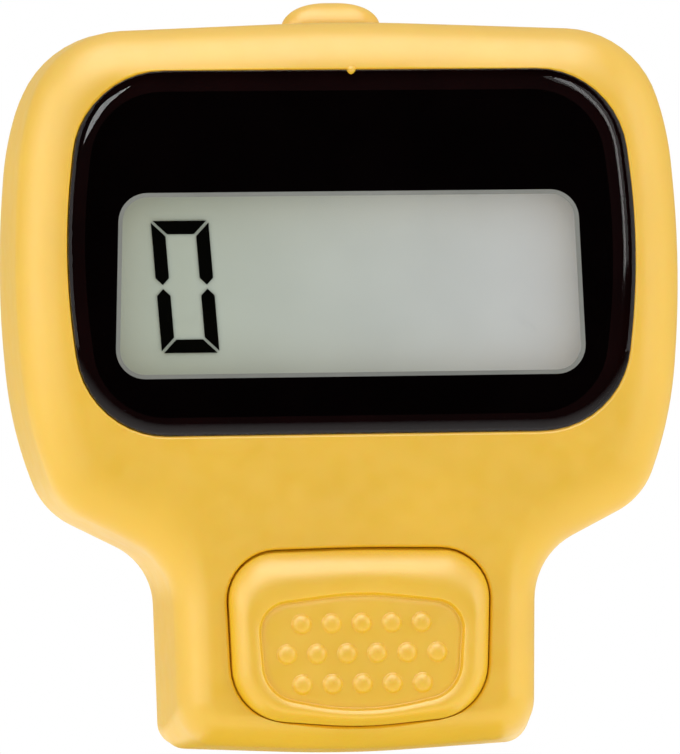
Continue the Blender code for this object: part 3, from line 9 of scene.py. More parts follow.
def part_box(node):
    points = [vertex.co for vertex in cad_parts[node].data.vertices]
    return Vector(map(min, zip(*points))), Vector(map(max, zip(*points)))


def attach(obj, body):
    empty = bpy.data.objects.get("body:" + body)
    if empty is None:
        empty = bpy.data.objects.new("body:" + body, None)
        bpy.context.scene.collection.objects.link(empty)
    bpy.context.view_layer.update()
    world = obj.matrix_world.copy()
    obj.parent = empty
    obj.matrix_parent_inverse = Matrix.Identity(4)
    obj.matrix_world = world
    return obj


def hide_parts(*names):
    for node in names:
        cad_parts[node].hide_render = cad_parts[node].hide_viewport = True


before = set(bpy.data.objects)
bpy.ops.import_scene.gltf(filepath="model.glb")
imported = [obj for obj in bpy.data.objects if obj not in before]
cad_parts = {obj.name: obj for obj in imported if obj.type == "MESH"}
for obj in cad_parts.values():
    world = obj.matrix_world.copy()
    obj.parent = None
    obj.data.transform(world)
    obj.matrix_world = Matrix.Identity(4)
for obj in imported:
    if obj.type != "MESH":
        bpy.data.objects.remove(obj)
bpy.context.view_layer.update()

bl_info = {
    "name": "Digital finger counter",
    "version": (1, 0, 0),
    "blender": (4, 5, 0),
    "location": "View3D > Sidebar > Finger counter",
    "description": "Builds the detailed pieces and finishes of a digital finger counter",
    "category": "Object",
}

MM = 0.001


def side_to_outline(side, top=None, low=None):
    """Close a right-hand list of corners with its mirror image and the crowns on the middle line."""
    corners = list(side)
    left = [(-x, z, radius) for x, z, radius in reversed(corners)]
    head = [(0.0, *top)] if top else []
    foot = [(0.0, *low)] if low else []
    return head + corners + foot + left


# The same outlines as the solids have: half-width, height and fillet radius of each corner, in mm
TOP_HEIGHT = 11.947
FRONT_FACE_Y = -21.9
CASE_SIDE = (
    (14.545, 11.461, 5.155),
    (16.167, 6.233, 14.9),
    (16.726, -0.589, 54.0),
    (16.054, -7.819, 21.0),
    (14.546, -11.921, 3.972),
    (9.218, -14.632, 3.208),
)
CASE_TOP = (11.997, 90.0)
CASE_LOW = (-24.045, 60.0)
NECK_END = (9.022, -23.583)
NECK_END_RADIUS = 2.65
NECK_RADIUS_FALL = 1.45
LENS_OUTLINE = side_to_outline(((12.942, 9.117, 4.4), (13.992, 0.35, 34.0), (12.942, -8.417, 4.4)))
WINDOW_OUTLINE = side_to_outline(((11.16, 3.325, 1.4), (11.47, -5.625, 1.4)))
DOOR_OUTLINE = side_to_outline(((6.75, -7.5, 1.6), (6.75, -22.2, 1.6)))
BUTTON_CENTRE = -18.26
BUTTON_TOP = -14.0
BUTTON_LOW = -22.52
BUTTON_SIDE = ((6.39, -14.12, 2.3), (6.09, -21.97, 2.7))
BUTTON_OUTLINE = side_to_outline(BUTTON_SIDE, (BUTTON_TOP, 90.0), (BUTTON_LOW, 19.2))
# The gap round the button is widest along the top and narrows towards the bottom
OPENING_SIDE = ((6.39 + 0.1, -14.12 + 0.13, 2.43), (6.09 + 0.06, -21.97 - 0.04, 2.74))
OPENING_OUTLINE = side_to_outline(OPENING_SIDE, (BUTTON_TOP + 0.13, 90.0), (BUTTON_LOW - 0.04, 19.3))
PANEL_TOP = -15.93
PANEL_LOW = -21.99
PANEL_SIDE = ((5.085, -16.53, 1.5), (4.785, -20.99, 1.9))
PANEL_OUTLINE = side_to_outline(PANEL_SIDE, (PANEL_TOP, 14.0), (PANEL_LOW, 12.0))
PANEL_MIDDLE = (PANEL_TOP + PANEL_LOW) / 2
RESET_HALF_WIDTH = 2.43
RESET_HALF_DEPTH = 1.35
CASE_SCREWS = ((-11.5, 8.1), (11.5, 8.1), (-11.2, -10.2), (11.2, -10.2))
BOARD_SCREWS = ((-6.6, 7.6), (6.6, 7.6), (-6.6, -9.7), (6.6, -9.7))
CELL_CENTRE = -15.95
DOOR_SCREW = -8.9

# Depths behind the front face, in mm
PARTING_DEPTH = 7.0
RESET_DEPTH = 7.9
DOOR_BED_DEPTH = 10.85
BACK_DEPTH = 11.8
CUT_DEPTH = 12.8
LENS_BACK = 1.2
SHELL_INSIDE = 2.05
POCKET_BACK = 3.3

# Height where the front edge's rounding starts to narrow, and the length of that change, in mm
NECK_START = -12.0
NECK_BLEND = 4.0

# The strap's middle line seen from above, its overlap and its section, in mm
STRAP_RADIUS = 9.8
STRAP_FLAT = -9.3
STRAP_CORNER = 3.0
STRAP_OVERLAP = 1.15
STRAP_HALF_WIDTH = 4.5
STRAP_HALF_THICKNESS = 0.5

CUT = "DIFFERENCE"
JOIN = "UNION"
SHARP_ANGLE = math.radians(32.0)
ALONG_DEPTH = Matrix.Rotation(-math.pi / 2, 4, "X")


# Settings


def length_field(name, description, millimetres):
    return FloatProperty(name=name, description=description, unit="LENGTH", default=millimetres * MM)


def angle_field(name, description, degrees):
    return FloatProperty(name=name, description=description, unit="ROTATION", default=math.radians(degrees))


def colour_field(name, description, colour):
    return FloatVectorProperty(
        name=name, description=description, subtype="COLOR", size=3, default=colour, min=0.0, max=1.0)


class CaseSettings(bpy.types.PropertyGroup):
    colour: colour_field("Case colour", "Colour of the moulded case", (0.855, 0.506, 0.004))
    roughness: FloatProperty(
        name="Case roughness", description="Satin of the moulded case", default=0.42, min=0.0, max=1.0)
    round_depth: length_field("Round depth", "Depth of the rounding of the front edge", 2.2)
    round_inset: length_field("Round inset", "Width of the rounding of the front edge", 2.6)
    neck_inset: length_field("Neck round inset", "Width of the front edge's rounding along the neck", 1.7)
    draft: length_field("Side draft", "How far the side leans in towards the front", 0.5)
    lip_round: length_field("Lip round", "Rounding of the edges of openings", 0.16)


class LensSettings(bpy.types.PropertyGroup):
    proud: length_field("Lens proud", "How far the lens stands out of the case", 0.35)
    edge_round: length_field("Lens edge round", "Rounding of the lens's front edge", 0.1)
    border: length_field("Lens border", "Width of the lens's curved border", 0.68)
    border_tilt: angle_field("Lens border tilt", "Slope of the border where it meets the edge", 30.0)
    # The bevel's paleness is a painted highlight of its lit inner wall
    window_bevel: length_field("Window bevel", "Width of the pale bevel round the display window", 0.2)
    display_colour: colour_field("Display colour", "Colour of the unlit display", (0.57, 0.613, 0.555))


class ButtonSettings(bpy.types.PropertyGroup):
    proud: length_field("Button proud", "How far the count button stands out", 1.1)
    edge_round: length_field("Button edge round", "Depth of the rounding of the count button", 1.1)
    panel_depth: length_field("Panel depth", "Depth of the recessed panel", 0.3)
    dot_pitch: length_field("Grip dot pitch", "Distance between grip dots", 1.45)
    dot_rows: IntProperty(name="Grip dot rows", description="Rows of grip dots", default=3, min=1, max=5)


class StrapSettings(bpy.types.PropertyGroup):
    colour: colour_field("Strap colour", "Colour of the finger strap", (0.8, 0.45, 0.03))
    edge_round: length_field("Strap edge round", "Rounding of the strap's edges", 0.32)


class StageSettings(bpy.types.PropertyGroup):
    azimuth: angle_field("Camera azimuth", "Turn of the camera round the counter", -6.804)
    elevation: angle_field("Camera elevation", "Height angle of the camera", -1.687)
    roll: angle_field("Camera roll", "Roll of the camera about its axis", 0.964)
    distance: length_field("Camera distance", "From the camera to the case", 280.0)
    focal_pixels: FloatProperty(
        name="Focal length in pixels", description="Focal length over one pixel of the photo's frame",
        default=5721.5)
    ambient: FloatProperty(
        name="Ambient light", description="Strength of the even light from all round", default=0.89)
    lamp_level: FloatProperty(
        name="Lamp level", description="Share of every lamp's power", default=1.0)


# The photo's width in pixels, and the width of the camera's sensor in mm
PHOTO_WIDTH = 680.0
SENSOR_WIDTH = 36.0

# Places and sizes on the stage, in metres
CAMERA_AIM = (-0.00017, -0.017, -0.005541)
FLOOR_HEIGHT = -0.075
FLOOR_REACH = 1.2
MIDDLE = (0.0, -0.017, -0.005)
LENS_LEVEL = (0.0, -0.022, 0.17)
SIDE_LEVEL = (0.0, -0.24, 0.14)
# Name, place, aim, size, power in watts, kind and the collection that alone receives it.
# A soft lamp has no mirror image, and a shine lamp shows in reflections only.
LAMPS = (
    ("key_lamp", (-0.174, -0.648, 0.231), MIDDLE, (0.21, 0.21), 0.95, "full", "lens_pieces"),
    ("side_lamp", (0.42, -0.42, 0.06), MIDDLE, (0.07, 0.4), 0.45, "full", "satin_pieces"),
    ("lens_glow", (0.215, -0.475, 0.17), LENS_LEVEL, (0.22, 0.3), 0.2, "shine", "lens_pieces"),
    ("lens_core", (0.18, -0.49, 0.17), LENS_LEVEL, (0.08, 0.3), 0.25, "shine", "lens_pieces"),
    ("left_lamp", (-0.6, -0.08, 0.1), MIDDLE, (0.4, 0.4), 0.55, "soft", ""),
    ("under_lamp", (0.0, -0.03, -0.072), (0.0, -0.03, 0.0), (0.3, 0.3), 0.09, "soft", ""),
    ("top_shine", (-0.05, -0.27, 0.48), MIDDLE, (0.6, 0.55), 3.25, "shine", "satin_pieces"),
    ("front_top_shine", (0.0, -0.5, 0.4), MIDDLE, (0.6, 0.3), 0.7, "shine", "satin_pieces"),
    ("front_left_shine", (-0.4, -0.55, 0.1), MIDDLE, (0.2, 0.4), 0.54, "shine", "satin_pieces"),
    ("left_shine", (-0.5, -0.24, 0.14), SIDE_LEVEL, (0.4, 0.5), 1.15, "shine", "satin_pieces"),
    ("right_shine", (0.5, -0.24, 0.14), SIDE_LEVEL, (0.4, 0.5), 0.56, "shine", "satin_pieces"),
)
# The collection that a piece joins by its slot, for the lamps that light only some pieces
RECEIVERS = {"case": "satin_pieces", "button": "satin_pieces", "lens": "lens_pieces"}
# Name, low and high corner, shade and the stretch along Y where the shade fades in.
# Only mirror rays see these cards, so the photo's dark room shows in the gloss.
CARDS = (
    ("dark_card", (-0.75, -0.8, -0.35), (1.05, -0.8, 1.6), 0.002, None),
    ("grey_card", (-0.9, 0.45, -0.07), (0.9, 0.45, 0.5), 0.55, None),
    ("fading_card", (-0.7, -0.79, -0.0745), (0.7, -0.08, -0.0745), 1.0, (-0.6, -0.08)),
    ("low_card", (-0.012, -0.025, -0.033), (0.012, 0.03, -0.033), 0.1, None),
)

# How fast the fading card gets paler, and the floor's own light as the camera sees it
FADE_POWER = 2.6
FLOOR_FILL = 0.45

# Solids that keep their shape: material name, colour, roughness, mottle, other finish values, nodes
INNER_FINISHES = (
    ("board_green", (0.02, 0.16, 0.06), 0.35, 0.25, {}, ["circuit_board"]),
    ("frame_black", (0.03, 0.03, 0.03), 0.45, 0.15, {}, ["lcd_frame"]),
    ("strip_rubber", (0.3, 0.3, 0.32), 0.7, 0.4, {"stretch": (40.0, 1.0, 1.0)}, ["zebra_strip"]),
    ("chip_epoxy", (0.015, 0.015, 0.015), 0.2, 0.3, {}, ["chip_blob"]),
    ("capacitor_tan", (0.5, 0.35, 0.18), 0.5, 0.12, {}, ["capacitor"]),
    ("resistor_black", (0.04, 0.04, 0.045), 0.4, 0.2, {}, ["resistor"]),
    ("switch_black", (0.02, 0.02, 0.02), 0.5, 0.2, {}, ["count_switch_body", "reset_switch_body"]),
    ("plated_steel", (0.6, 0.6, 0.6), 0.25, 0.06, {"metallic": 1.0, "stretch": (1.0, 1.0, 12.0)},
     ["count_switch_cover", "reset_switch_cover", "count_switch_dome", "reset_switch_dome",
      "battery_can", "battery_cap"]),
    ("plunger_cream", (0.8, 0.76, 0.62), 0.5, 0.05, {}, ["count_switch_plunger", "reset_switch_plunger"]),
    ("gasket_black", (0.03, 0.03, 0.03), 0.6, 0.1, {}, ["battery_gasket"]),
    ("contact_gold", (0.8, 0.6, 0.25), 0.3, 0.08, {"metallic": 1.0},
     ["battery_contact_positive", "battery_contact_negative"]),
)


# Outlines and lofts


def smooth(share):
    share = min(max(share, 0.0), 1.0)
    return share * share * (3.0 - 2.0 * share)


def between(first, second, share):
    return tuple(a + (b - a) * share for a, b in zip(first, second))


def quarter(steps):
    """Even angles from nothing to a right angle."""
    return [math.pi / 2 * step / steps for step in range(steps + 1)]


def quarter_round(radius, angle):
    """How far a quarter circle has come along its first axis, and how far it is from its end."""
    return radius * (1.0 - math.cos(angle)), radius * (1.0 - math.sin(angle))


def case_outline(depth=0.0):
    """The neck's lower corners are rounder at the front than at the back."""
    end_radius = NECK_END_RADIUS - NECK_RADIUS_FALL * smooth(depth / PARTING_DEPTH)
    return side_to_outline(CASE_SIDE + ((*NECK_END, end_radius),), CASE_TOP, CASE_LOW)


def reset_outline(grow, radius):
    """The reset button's outline, seen from above."""
    width = RESET_HALF_WIDTH + grow
    depth = RESET_HALF_DEPTH + grow
    return fillet(side_to_outline([(width, depth, radius), (width, -depth, radius)]))


def limit_radii(corners):
    """Shrink fillets that would overlap along a shared edge."""
    count = len(corners)
    points = [Vector(corner[:2]) for corner in corners]
    reach = []
    for index, here in enumerate(points):
        opening = (points[index - 1] - here).angle(points[(index + 1) % count] - here)
        reach.append(1.0 / math.tan(opening / 2))
    limited = []
    for index, (x, z, radius) in enumerate(corners):
        share = 1.0
        for other in (index - 1, (index + 1) % count):
            room = 0.97 * (points[other] - points[index]).length
            share = min(share, room / (radius * reach[index] + corners[other][2] * reach[other]))
        limited.append((x, z, radius * share))
    return limited


def fillet(corners, inset=0.0, steps=10):
    """Points of a closed outline in mm, moved inwards, with the same number of points at each corner."""
    corners = limit_radii(corners)
    count = len(corners)
    points = []
    for index, (x, z, radius) in enumerate(corners):
        here = Vector((x, z))
        way_in = (here - Vector(corners[index - 1][:2])).normalized()
        way_out = (Vector(corners[(index + 1) % count][:2]) - here).normalized()
        inner_in = Vector((way_in.y, -way_in.x))
        inner_out = Vector((way_out.y, -way_out.x))
        mitre = (inner_in + inner_out).normalized()
        hollow = way_in.x * way_out.y - way_in.y * way_out.x >= 0.0
        new_radius = max(radius + inset if hollow else radius - inset, 0.05)
        corner = here + mitre * (inset / mitre.dot(inner_in))
        turning = way_in.angle(way_out)
        reach = new_radius * math.tan(turning / 2)
        towards = -inner_in if hollow else inner_in
        centre = corner - way_in * reach + towards * new_radius
        side = 1.0 if hollow else -1.0
        for step in range(steps + 1):
            spoke = Matrix.Rotation(side * turning * step / steps, 2) @ (-towards * new_radius)
            points.append((centre.x + spoke.x, centre.y + spoke.y))
    return points


def at_depth(points, depth):
    """Outline points in mm as places in metres, at one depth or at a depth for each point."""
    if not hasattr(depth, "__len__"):
        depth = [depth] * len(points)
    return [Vector((x, FRONT_FACE_Y + d, z)) * MM for (x, z), d in zip(points, depth)]


def outline_ring(corners, inset, depth):
    return at_depth(fillet(corners, inset), depth)


def on_top(points, height, scale=1.0):
    """Points seen from above as places in metres, round the middle of the reset button."""
    return [Vector((x * scale, FRONT_FACE_Y + RESET_DEPTH + y * scale, height)) * MM for x, y in points]


def skin(name, rings):
    """A closed mesh through rings that have the same number of points, with its faces outwards."""
    verts = [tuple(point) for ring in rings for point in ring]
    size = len(rings[0])
    faces = []
    for base in range(0, len(verts) - size, size):
        for index in range(size):
            nearby = (index + 1) % size
            faces.append((base + index, base + nearby, base + size + nearby, base + size + index))
    faces.append(tuple(range(size)))
    faces.append(tuple(reversed(range(len(verts) - size, len(verts)))))
    mesh = bpy.data.meshes.new(name)
    mesh.from_pydata(verts, [], faces)
    mesh.validate()
    form = bmesh.new()
    form.from_mesh(mesh)
    bmesh.ops.recalc_face_normals(form, faces=form.faces)
    form.to_mesh(mesh)
    form.free()
    return mesh


def loft(name, corners, profile):
    """A closed mesh through one outline at a list of insets and depths."""
    return skin(name, [outline_ring(corners, inset, depth) for inset, depth in profile])


def plate(name, corners, front, back, grow=0.0):
    return loft(name, corners, ((-grow, front), (-grow, back)))


def turned(name, profile, place, segments=48):
    """Turn a profile of (radius, height) in mm about its height axis and place it."""
    rings = []
    for radius, height in profile:
        ring = []
        for index in range(segments):
            angle = 2 * math.pi * index / segments
            point = Vector((radius * math.cos(angle), radius * math.sin(angle), height)) * MM
            ring.append(place @ point)
        rings.append(ring)
    return skin(name, rings)


def rod(name, x, z, radius, front, back, lip=0.0, segments=48):
    """A cylinder along the depth, widened at its back end where it has a lip."""
    profile = [(radius, front)]
    if lip:
        profile.append((radius, back - lip))
        profile.append((radius + lip * 0.35, back - lip * 0.35))
        profile.append((radius + lip, back))
        profile.append((radius + lip, back + 1.0))
    else:
        profile.append((radius, back))
    place = Matrix.Translation(Vector((x, FRONT_FACE_Y, z)) * MM) @ ALONG_DEPTH
    return turned(name, profile, place, segments)


def soft_box(name, low, high, edge=0.0, segments=3):
    """A box in mm with rounded edges."""
    form = bmesh.new()
    bmesh.ops.create_cube(form, size=1.0)
    size = (Vector(high) - Vector(low)) * MM
    middle = (Vector(high) + Vector(low)) / 2 * MM
    place = Matrix.Translation(middle) @ Matrix.Diagonal((*size, 1.0))
    bmesh.ops.transform(form, matrix=place, verts=form.verts)
    if edge:
        bmesh.ops.bevel(
            form, geom=form.edges, offset=edge * MM, segments=segments, profile=0.5, affect="EDGES")
    mesh = bpy.data.meshes.new(name)
    form.to_mesh(mesh)
    form.free()
    return mesh


def deep_box(name, x, z, front, back, edge=0.0, segments=3):
    """A box in mm between two widths, two heights and two depths."""
    low = (x[0], FRONT_FACE_Y + front, z[0])
    high = (x[1], FRONT_FACE_Y + back, z[1])
    return soft_box(name, low, high, edge, segments)


def sheet(name, low, high):
    """One flat face between two corners in metres."""
    corners = [low, (high[0], *low[1:]), high, (low[0], *high[1:])]
    mesh = bpy.data.meshes.new(name)
    mesh.from_pydata(corners, [], [(0, 1, 2, 3)])
    return new_piece(name, mesh)


def new_piece(name, data):
    piece = bpy.data.objects.new(name, data)
    bpy.context.scene.collection.objects.link(piece)
    return piece


def remove(pieces):
    for piece in pieces:
        bpy.data.objects.remove(piece, do_unlink=True)


def plain_mesh(piece):
    graph = bpy.context.evaluated_depsgraph_get()
    return bpy.data.meshes.new_from_object(piece.evaluated_get(graph))


def carve(mesh, steps):
    """Apply booleans in order: each step is an operation and a mesh."""
    piece = new_piece("carving", mesh)
    tools = []
    for index, (operation, tool_mesh) in enumerate(steps):
        tool = new_piece(f"tool_{index}", tool_mesh)
        modifier = piece.modifiers.new(tool.name, "BOOLEAN")
        modifier.operation = operation
        modifier.solver = "EXACT"
        modifier.object = tool
        tools.append(tool)
    result = plain_mesh(piece)
    remove(tools + [piece])
    return result


def soften(mesh):
    """Smooth shading that keeps the sharp edges crisp."""
    mesh.shade_smooth()
    mesh.set_sharp_from_angle(angle=SHARP_ANGLE)


def finish_piece(name, mesh, body, slot, materials, stands_for):
    """Give a mesh its finishes and even normals, and let it ride on a CAD body for its solids."""
    mesh.name = name
    mesh.materials.clear()
    for material in materials:
        mesh.materials.append(material)
    soften(mesh)
    piece = new_piece(name, mesh)
    modifier = piece.modifiers.new("even_normals", "WEIGHTED_NORMAL")
    modifier.keep_sharp = True
    if slot in RECEIVERS:
        bpy.data.collections[RECEIVERS[slot]].objects.link(piece)
    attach(piece, body)
    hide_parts(*stands_for)
    return piece


# Finishes


def new_material(name):
    material = bpy.data.materials.new(name)
    material.use_nodes = True
    tree = material.node_tree
    return material, tree, tree.nodes["Principled BSDF"]


def set_inputs(node, values):
    for name, value in values.items():
        node.inputs[name].default_value = value


def feed(tree, value, socket):
    """Link a socket to another one, or set it to a plain value."""
    if hasattr(value, "links"):
        tree.links.new(value, socket)
    else:
        socket.default_value = value


def calculated(tree, operation, first, second):
    node = tree.nodes.new("ShaderNodeMath")
    node.operation = operation
    feed(tree, first, node.inputs[0])
    feed(tree, second, node.inputs[1])
    return node.outputs["Value"]


def object_place(tree):
    return tree.nodes.new("ShaderNodeTexCoord").outputs["Object"]


def object_axis(tree, axis):
    split = tree.nodes.new("ShaderNodeSeparateXYZ")
    tree.links.new(object_place(tree), split.inputs["Vector"])
    return split.outputs[axis]


def noise(tree, scale, detail=4.0, stretch=None):
    """A noise texture on the piece's own Object coordinates."""
    texture = tree.nodes.new("ShaderNodeTexNoise")
    set_inputs(texture, {"Scale": scale, "Detail": detail})
    source = object_place(tree)
    if stretch:
        mapping = tree.nodes.new("ShaderNodeMapping")
        mapping.inputs["Scale"].default_value = stretch
        tree.links.new(source, mapping.inputs["Vector"])
        source = mapping.outputs["Vector"]
    tree.links.new(source, texture.inputs["Vector"])
    return texture.outputs["Fac"]


def ranged(tree, source, low, high, from_low=0.3, from_high=0.7):
    node = tree.nodes.new("ShaderNodeMapRange")
    set_inputs(node, {"From Min": from_low, "From Max": from_high, "To Min": low, "To Max": high})
    tree.links.new(source, node.inputs["Value"])
    return node.outputs["Result"]


def blended(tree, factor, first, second, blend_type="MIX"):
    node = tree.nodes.new("ShaderNodeMix")
    node.data_type = "RGBA"
    node.blend_type = blend_type
    feed(tree, factor, node.inputs["Factor"])
    for socket, colour in ((node.inputs[6], first), (node.inputs[7], second)):
        feed(tree, colour if hasattr(colour, "links") else (*colour, 1.0), socket)
    return node.outputs[2]


def mix_shaders(tree, factor, first, second, output):
    mix = tree.nodes.new("ShaderNodeMixShader")
    for source, socket in zip((factor, first, second), mix.inputs):
        tree.links.new(source, socket)
    tree.links.new(mix.outputs["Shader"], tree.nodes[output].inputs["Surface"])


def tint(colour, share):
    return tuple(min(1.0, channel * share) for channel in colour)


def moulded(name, colour, roughness, mottle=0.03, grain=9000.0, bump=0.02, metallic=0.0, stretch=None,
            gloss=0.5, glow=0.0):
    """Moulded or plated surface: slight mottling, uneven gloss and a fine grain."""
    material, tree, shader = new_material(name)
    set_inputs(shader, {"Metallic": metallic, "Specular IOR Level": gloss})
    if glow:
        set_inputs(shader, {
            "Subsurface Weight": glow,
            "Subsurface Radius": (1.0, 0.45, 0.1),
            "Subsurface Scale": 0.6 * MM,
        })
    patches = ranged(tree, noise(tree, 220.0, 3.0, stretch), 0.0, 1.0)
    pale = blended(tree, patches, tint(colour, 1 - mottle), tint(colour, 1 + mottle))
    tree.links.new(pale, shader.inputs["Base Color"])
    satin = ranged(tree, noise(tree, 900.0, 4.0, stretch), roughness * 0.9, roughness * 1.1)
    tree.links.new(satin, shader.inputs["Roughness"])
    relief = tree.nodes.new("ShaderNodeBump")
    set_inputs(relief, {"Strength": bump * 10.0, "Distance": 0.00001})
    tree.links.new(noise(tree, grain, 2.0, stretch), relief.inputs["Height"])
    tree.links.new(relief.outputs["Normal"], shader.inputs["Normal"])
    return material


def clear_sheet(name, roughness, colour=(1.0, 1.0, 1.0), index=1.49):
    """Clear sheet: light passes straight through and the outer face mirrors by Fresnel."""
    material, tree, shader = new_material(name)
    tree.nodes.remove(shader)
    through = tree.nodes.new("ShaderNodeBsdfTransparent")
    haze = ranged(tree, noise(tree, 160.0, 3.0), 0.985, 1.0)
    tree.links.new(blended(tree, haze, (0.0, 0.0, 0.0), colour), through.inputs["Color"])
    mirror = tree.nodes.new("ShaderNodeBsdfGlossy")
    mirror.inputs["Roughness"].default_value = roughness
    fresnel = tree.nodes.new("ShaderNodeFresnel")
    fresnel.inputs["IOR"].default_value = index
    behind = tree.nodes.new("ShaderNodeNewGeometry").outputs["Backfacing"]
    outer = calculated(tree, "SUBTRACT", 1.0, behind)
    share = calculated(tree, "MULTIPLY", fresnel.outputs["Fac"], outer)
    mix_shaders(tree, share, through.outputs["BSDF"], mirror.outputs["BSDF"], "Material Output")
    return material


def display_grey_and_painted_sheen(colour):
    """The unlit display's grey, with a painted sheen that makes it a little paler towards the right."""
    material, tree, shader = new_material("display_grey_and_painted_sheen")
    # Painted sheen: the grey pales from left to right in place of light reflected from the right side
    across = ranged(tree, object_axis(tree, "X"), 0.0, 1.0, -8 * MM, 10 * MM)
    paler = tuple(channel * share for channel, share in zip(colour, (1.25, 1.17, 1.39)))
    base = blended(tree, across, colour, paler)
    patches = ranged(tree, noise(tree, 300.0), 0.0, 1.0)
    cloud = blended(tree, patches, (0.98, 0.98, 0.98), (1.0, 1.0, 1.0))
    tree.links.new(blended(tree, 1.0, base, cloud, "MULTIPLY"), shader.inputs["Base Color"])
    set_inputs(shader, {"Roughness": 0.6, "Specular IOR Level": 0.1})
    return material


def yellow_plastic():
    settings = bpy.context.scene.counter_case
    return bpy.data.materials.get("case_yellow") or moulded(
        "case_yellow", tuple(settings.colour), settings.roughness, gloss=1.0, glow=0.3)


def let_light_through(piece):
    """Clear sheets cast no shadow on what lies behind them."""
    piece.visible_shadow = False
    piece.visible_diffuse = False


def repaint(nodes, material):
    """Give carried-over CAD nodes a new finish."""
    for name in nodes:
        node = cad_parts[name]
        if not node.material_slots:
            node.data.materials.append(material)
        for slot in node.material_slots:
            slot.material = material


# Shells


def lean_in(settings, depth):
    """How far in mm the case's side leans in at a depth in front of the parting line."""
    return settings.draft / MM * (1.0 - depth / PARTING_DEPTH)


def edge_ring(settings, width, angle):
    """Inset and depth in mm of one ring of the case's rounded front edge."""
    depth = quarter_round(settings.round_depth / MM, angle)[0]
    inset = quarter_round(width, angle)[1]
    return inset + lean_in(settings, depth), depth


def neck_share(z):
    return smooth((NECK_START - z) / NECK_BLEND)


def front_ring(settings, angle):
    """One ring of the case's front edge, wide round the head and narrower along the neck."""
    wide, depth = edge_ring(settings, settings.round_inset / MM, angle)
    narrow = edge_ring(settings, settings.neck_inset / MM, angle)[0]
    outline = case_outline(depth)
    pairs = zip(fillet(outline, wide), fillet(outline, narrow))
    return at_depth([between(head, neck, neck_share(neck[1])) for head, neck in pairs], depth)


def surface_depths(settings, points):
    """Depth in mm of the case's front surface under each outline point."""
    rim = fillet(case_outline())
    depths = []
    for x, z in points:
        away = min(math.hypot(x - rim_x, z - rim_z) for rim_x, rim_z in rim)
        wide = settings.round_inset
        width = (wide + (settings.neck_inset - wide) * neck_share(z)) / MM
        table = [edge_ring(settings, width, angle) for angle in quarter(24)]
        depth = 0.0
        for (inset_a, depth_a), (inset_b, depth_b) in zip(table, table[1:]):
            if inset_b <= away <= inset_a:
                depth = depth_a + (depth_b - depth_a) * (inset_a - away) / (inset_a - inset_b)
        depths.append(depth)
    return depths


def gate_nib():
    """The case's small nib over the middle of the lens's top edge."""
    place = Matrix.Translation(Vector((0.05, FRONT_FACE_Y + 0.14, 9.16)) * MM)
    profile = ((0.2, 0.12), (0.24, 0.0), (0.2, -0.1), (0.13, -0.19), (0.04, -0.25))
    return turned("gate_nib", profile, place, 24)


def flared_cutter(name, corners, settings, back, grow, lip):
    """A tool that cuts an opening through the front and rounds the opening's lip."""
    surface = surface_depths(settings, fillet(corners, -grow - lip))
    rings = [outline_ring(corners, -grow, back)]
    for degrees in (0, 20, 40, 60, 80):
        widen, sink = quarter_round(lip, math.radians(degrees))
        rings.append(outline_ring(corners, -grow - widen, [depth + sink for depth in surface]))
    mouth = -grow - lip * 0.92
    rings.append(outline_ring(corners, mouth, [depth - 0.06 for depth in surface]))
    rings.append(outline_ring(corners, mouth, -1.5))
    return skin(name, rings)


def reset_hole():
    points = reset_outline(grow=0.15, radius=1.2)
    return skin("reset_hole", [on_top(points, TOP_HEIGHT + rise) for rise in (-2.6, 2.0)])


def rounded_back(base, radius, steps):
    """Insets and depths that round an outline over to the back face."""
    rounds = [quarter_round(radius, angle) for angle in quarter(steps)]
    return [(base + inset, BACK_DEPTH - rise) for inset, rise in rounds]


def screwed(places, *rows):
    """Boolean steps at each place in turn: an operation, a name and a rod's sizes."""
    return [(operation, rod(name, x, z, *sizes)) for x, z in places for operation, name, *sizes in rows]


def make_front_shell(settings, yellow):
    rings = [front_ring(settings, angle) for angle in quarter(16)]
    for depth in (2.8, 3.4, 4.0, 4.6, 5.2, 5.8, 6.4):
        rings.append(outline_ring(case_outline(depth), lean_in(settings, depth), depth))
    for inset, depth in ((0.02, 6.92), (0.1, PARTING_DEPTH)):
        rings.append(outline_ring(case_outline(PARTING_DEPTH), inset, depth))
    wall = 1.3
    for inset, depth in ((wall, PARTING_DEPTH), (wall, 3.5), (wall + 0.6, 2.3)):
        rings.append(outline_ring(case_outline(), inset, depth))
    lip = settings.lip_round / MM
    steps = [
        (CUT, flared_cutter("lens_pocket", LENS_OUTLINE, settings, back=1.42, grow=0.04, lip=0.12)),
        (CUT, plate("display_opening", WINDOW_OUTLINE, front=0.0, back=POCKET_BACK, grow=0.35)),
        (CUT, flared_cutter("button_opening", OPENING_OUTLINE, settings, POCKET_BACK, 0.0, lip)),
        (CUT, plate("flange_pocket", BUTTON_OUTLINE, front=1.5, back=POCKET_BACK, grow=0.51)),
    ]
    steps += screwed(CASE_SCREWS, (JOIN, "boss", 1.55, SHELL_INSIDE, 6.9), (CUT, "pilot", 0.85, 2.7, 8.0))
    steps += screwed(BOARD_SCREWS, (JOIN, "boss", 1.1, SHELL_INSIDE, 5.14), (CUT, "pilot", 0.6, 2.9, 6.2))
    steps += [(CUT, reset_hole()), (JOIN, gate_nib())]
    mesh = carve(skin("front_shell", rings), steps)
    finish_piece("front_shell", mesh, "case", "case", [yellow], ["front_case"])


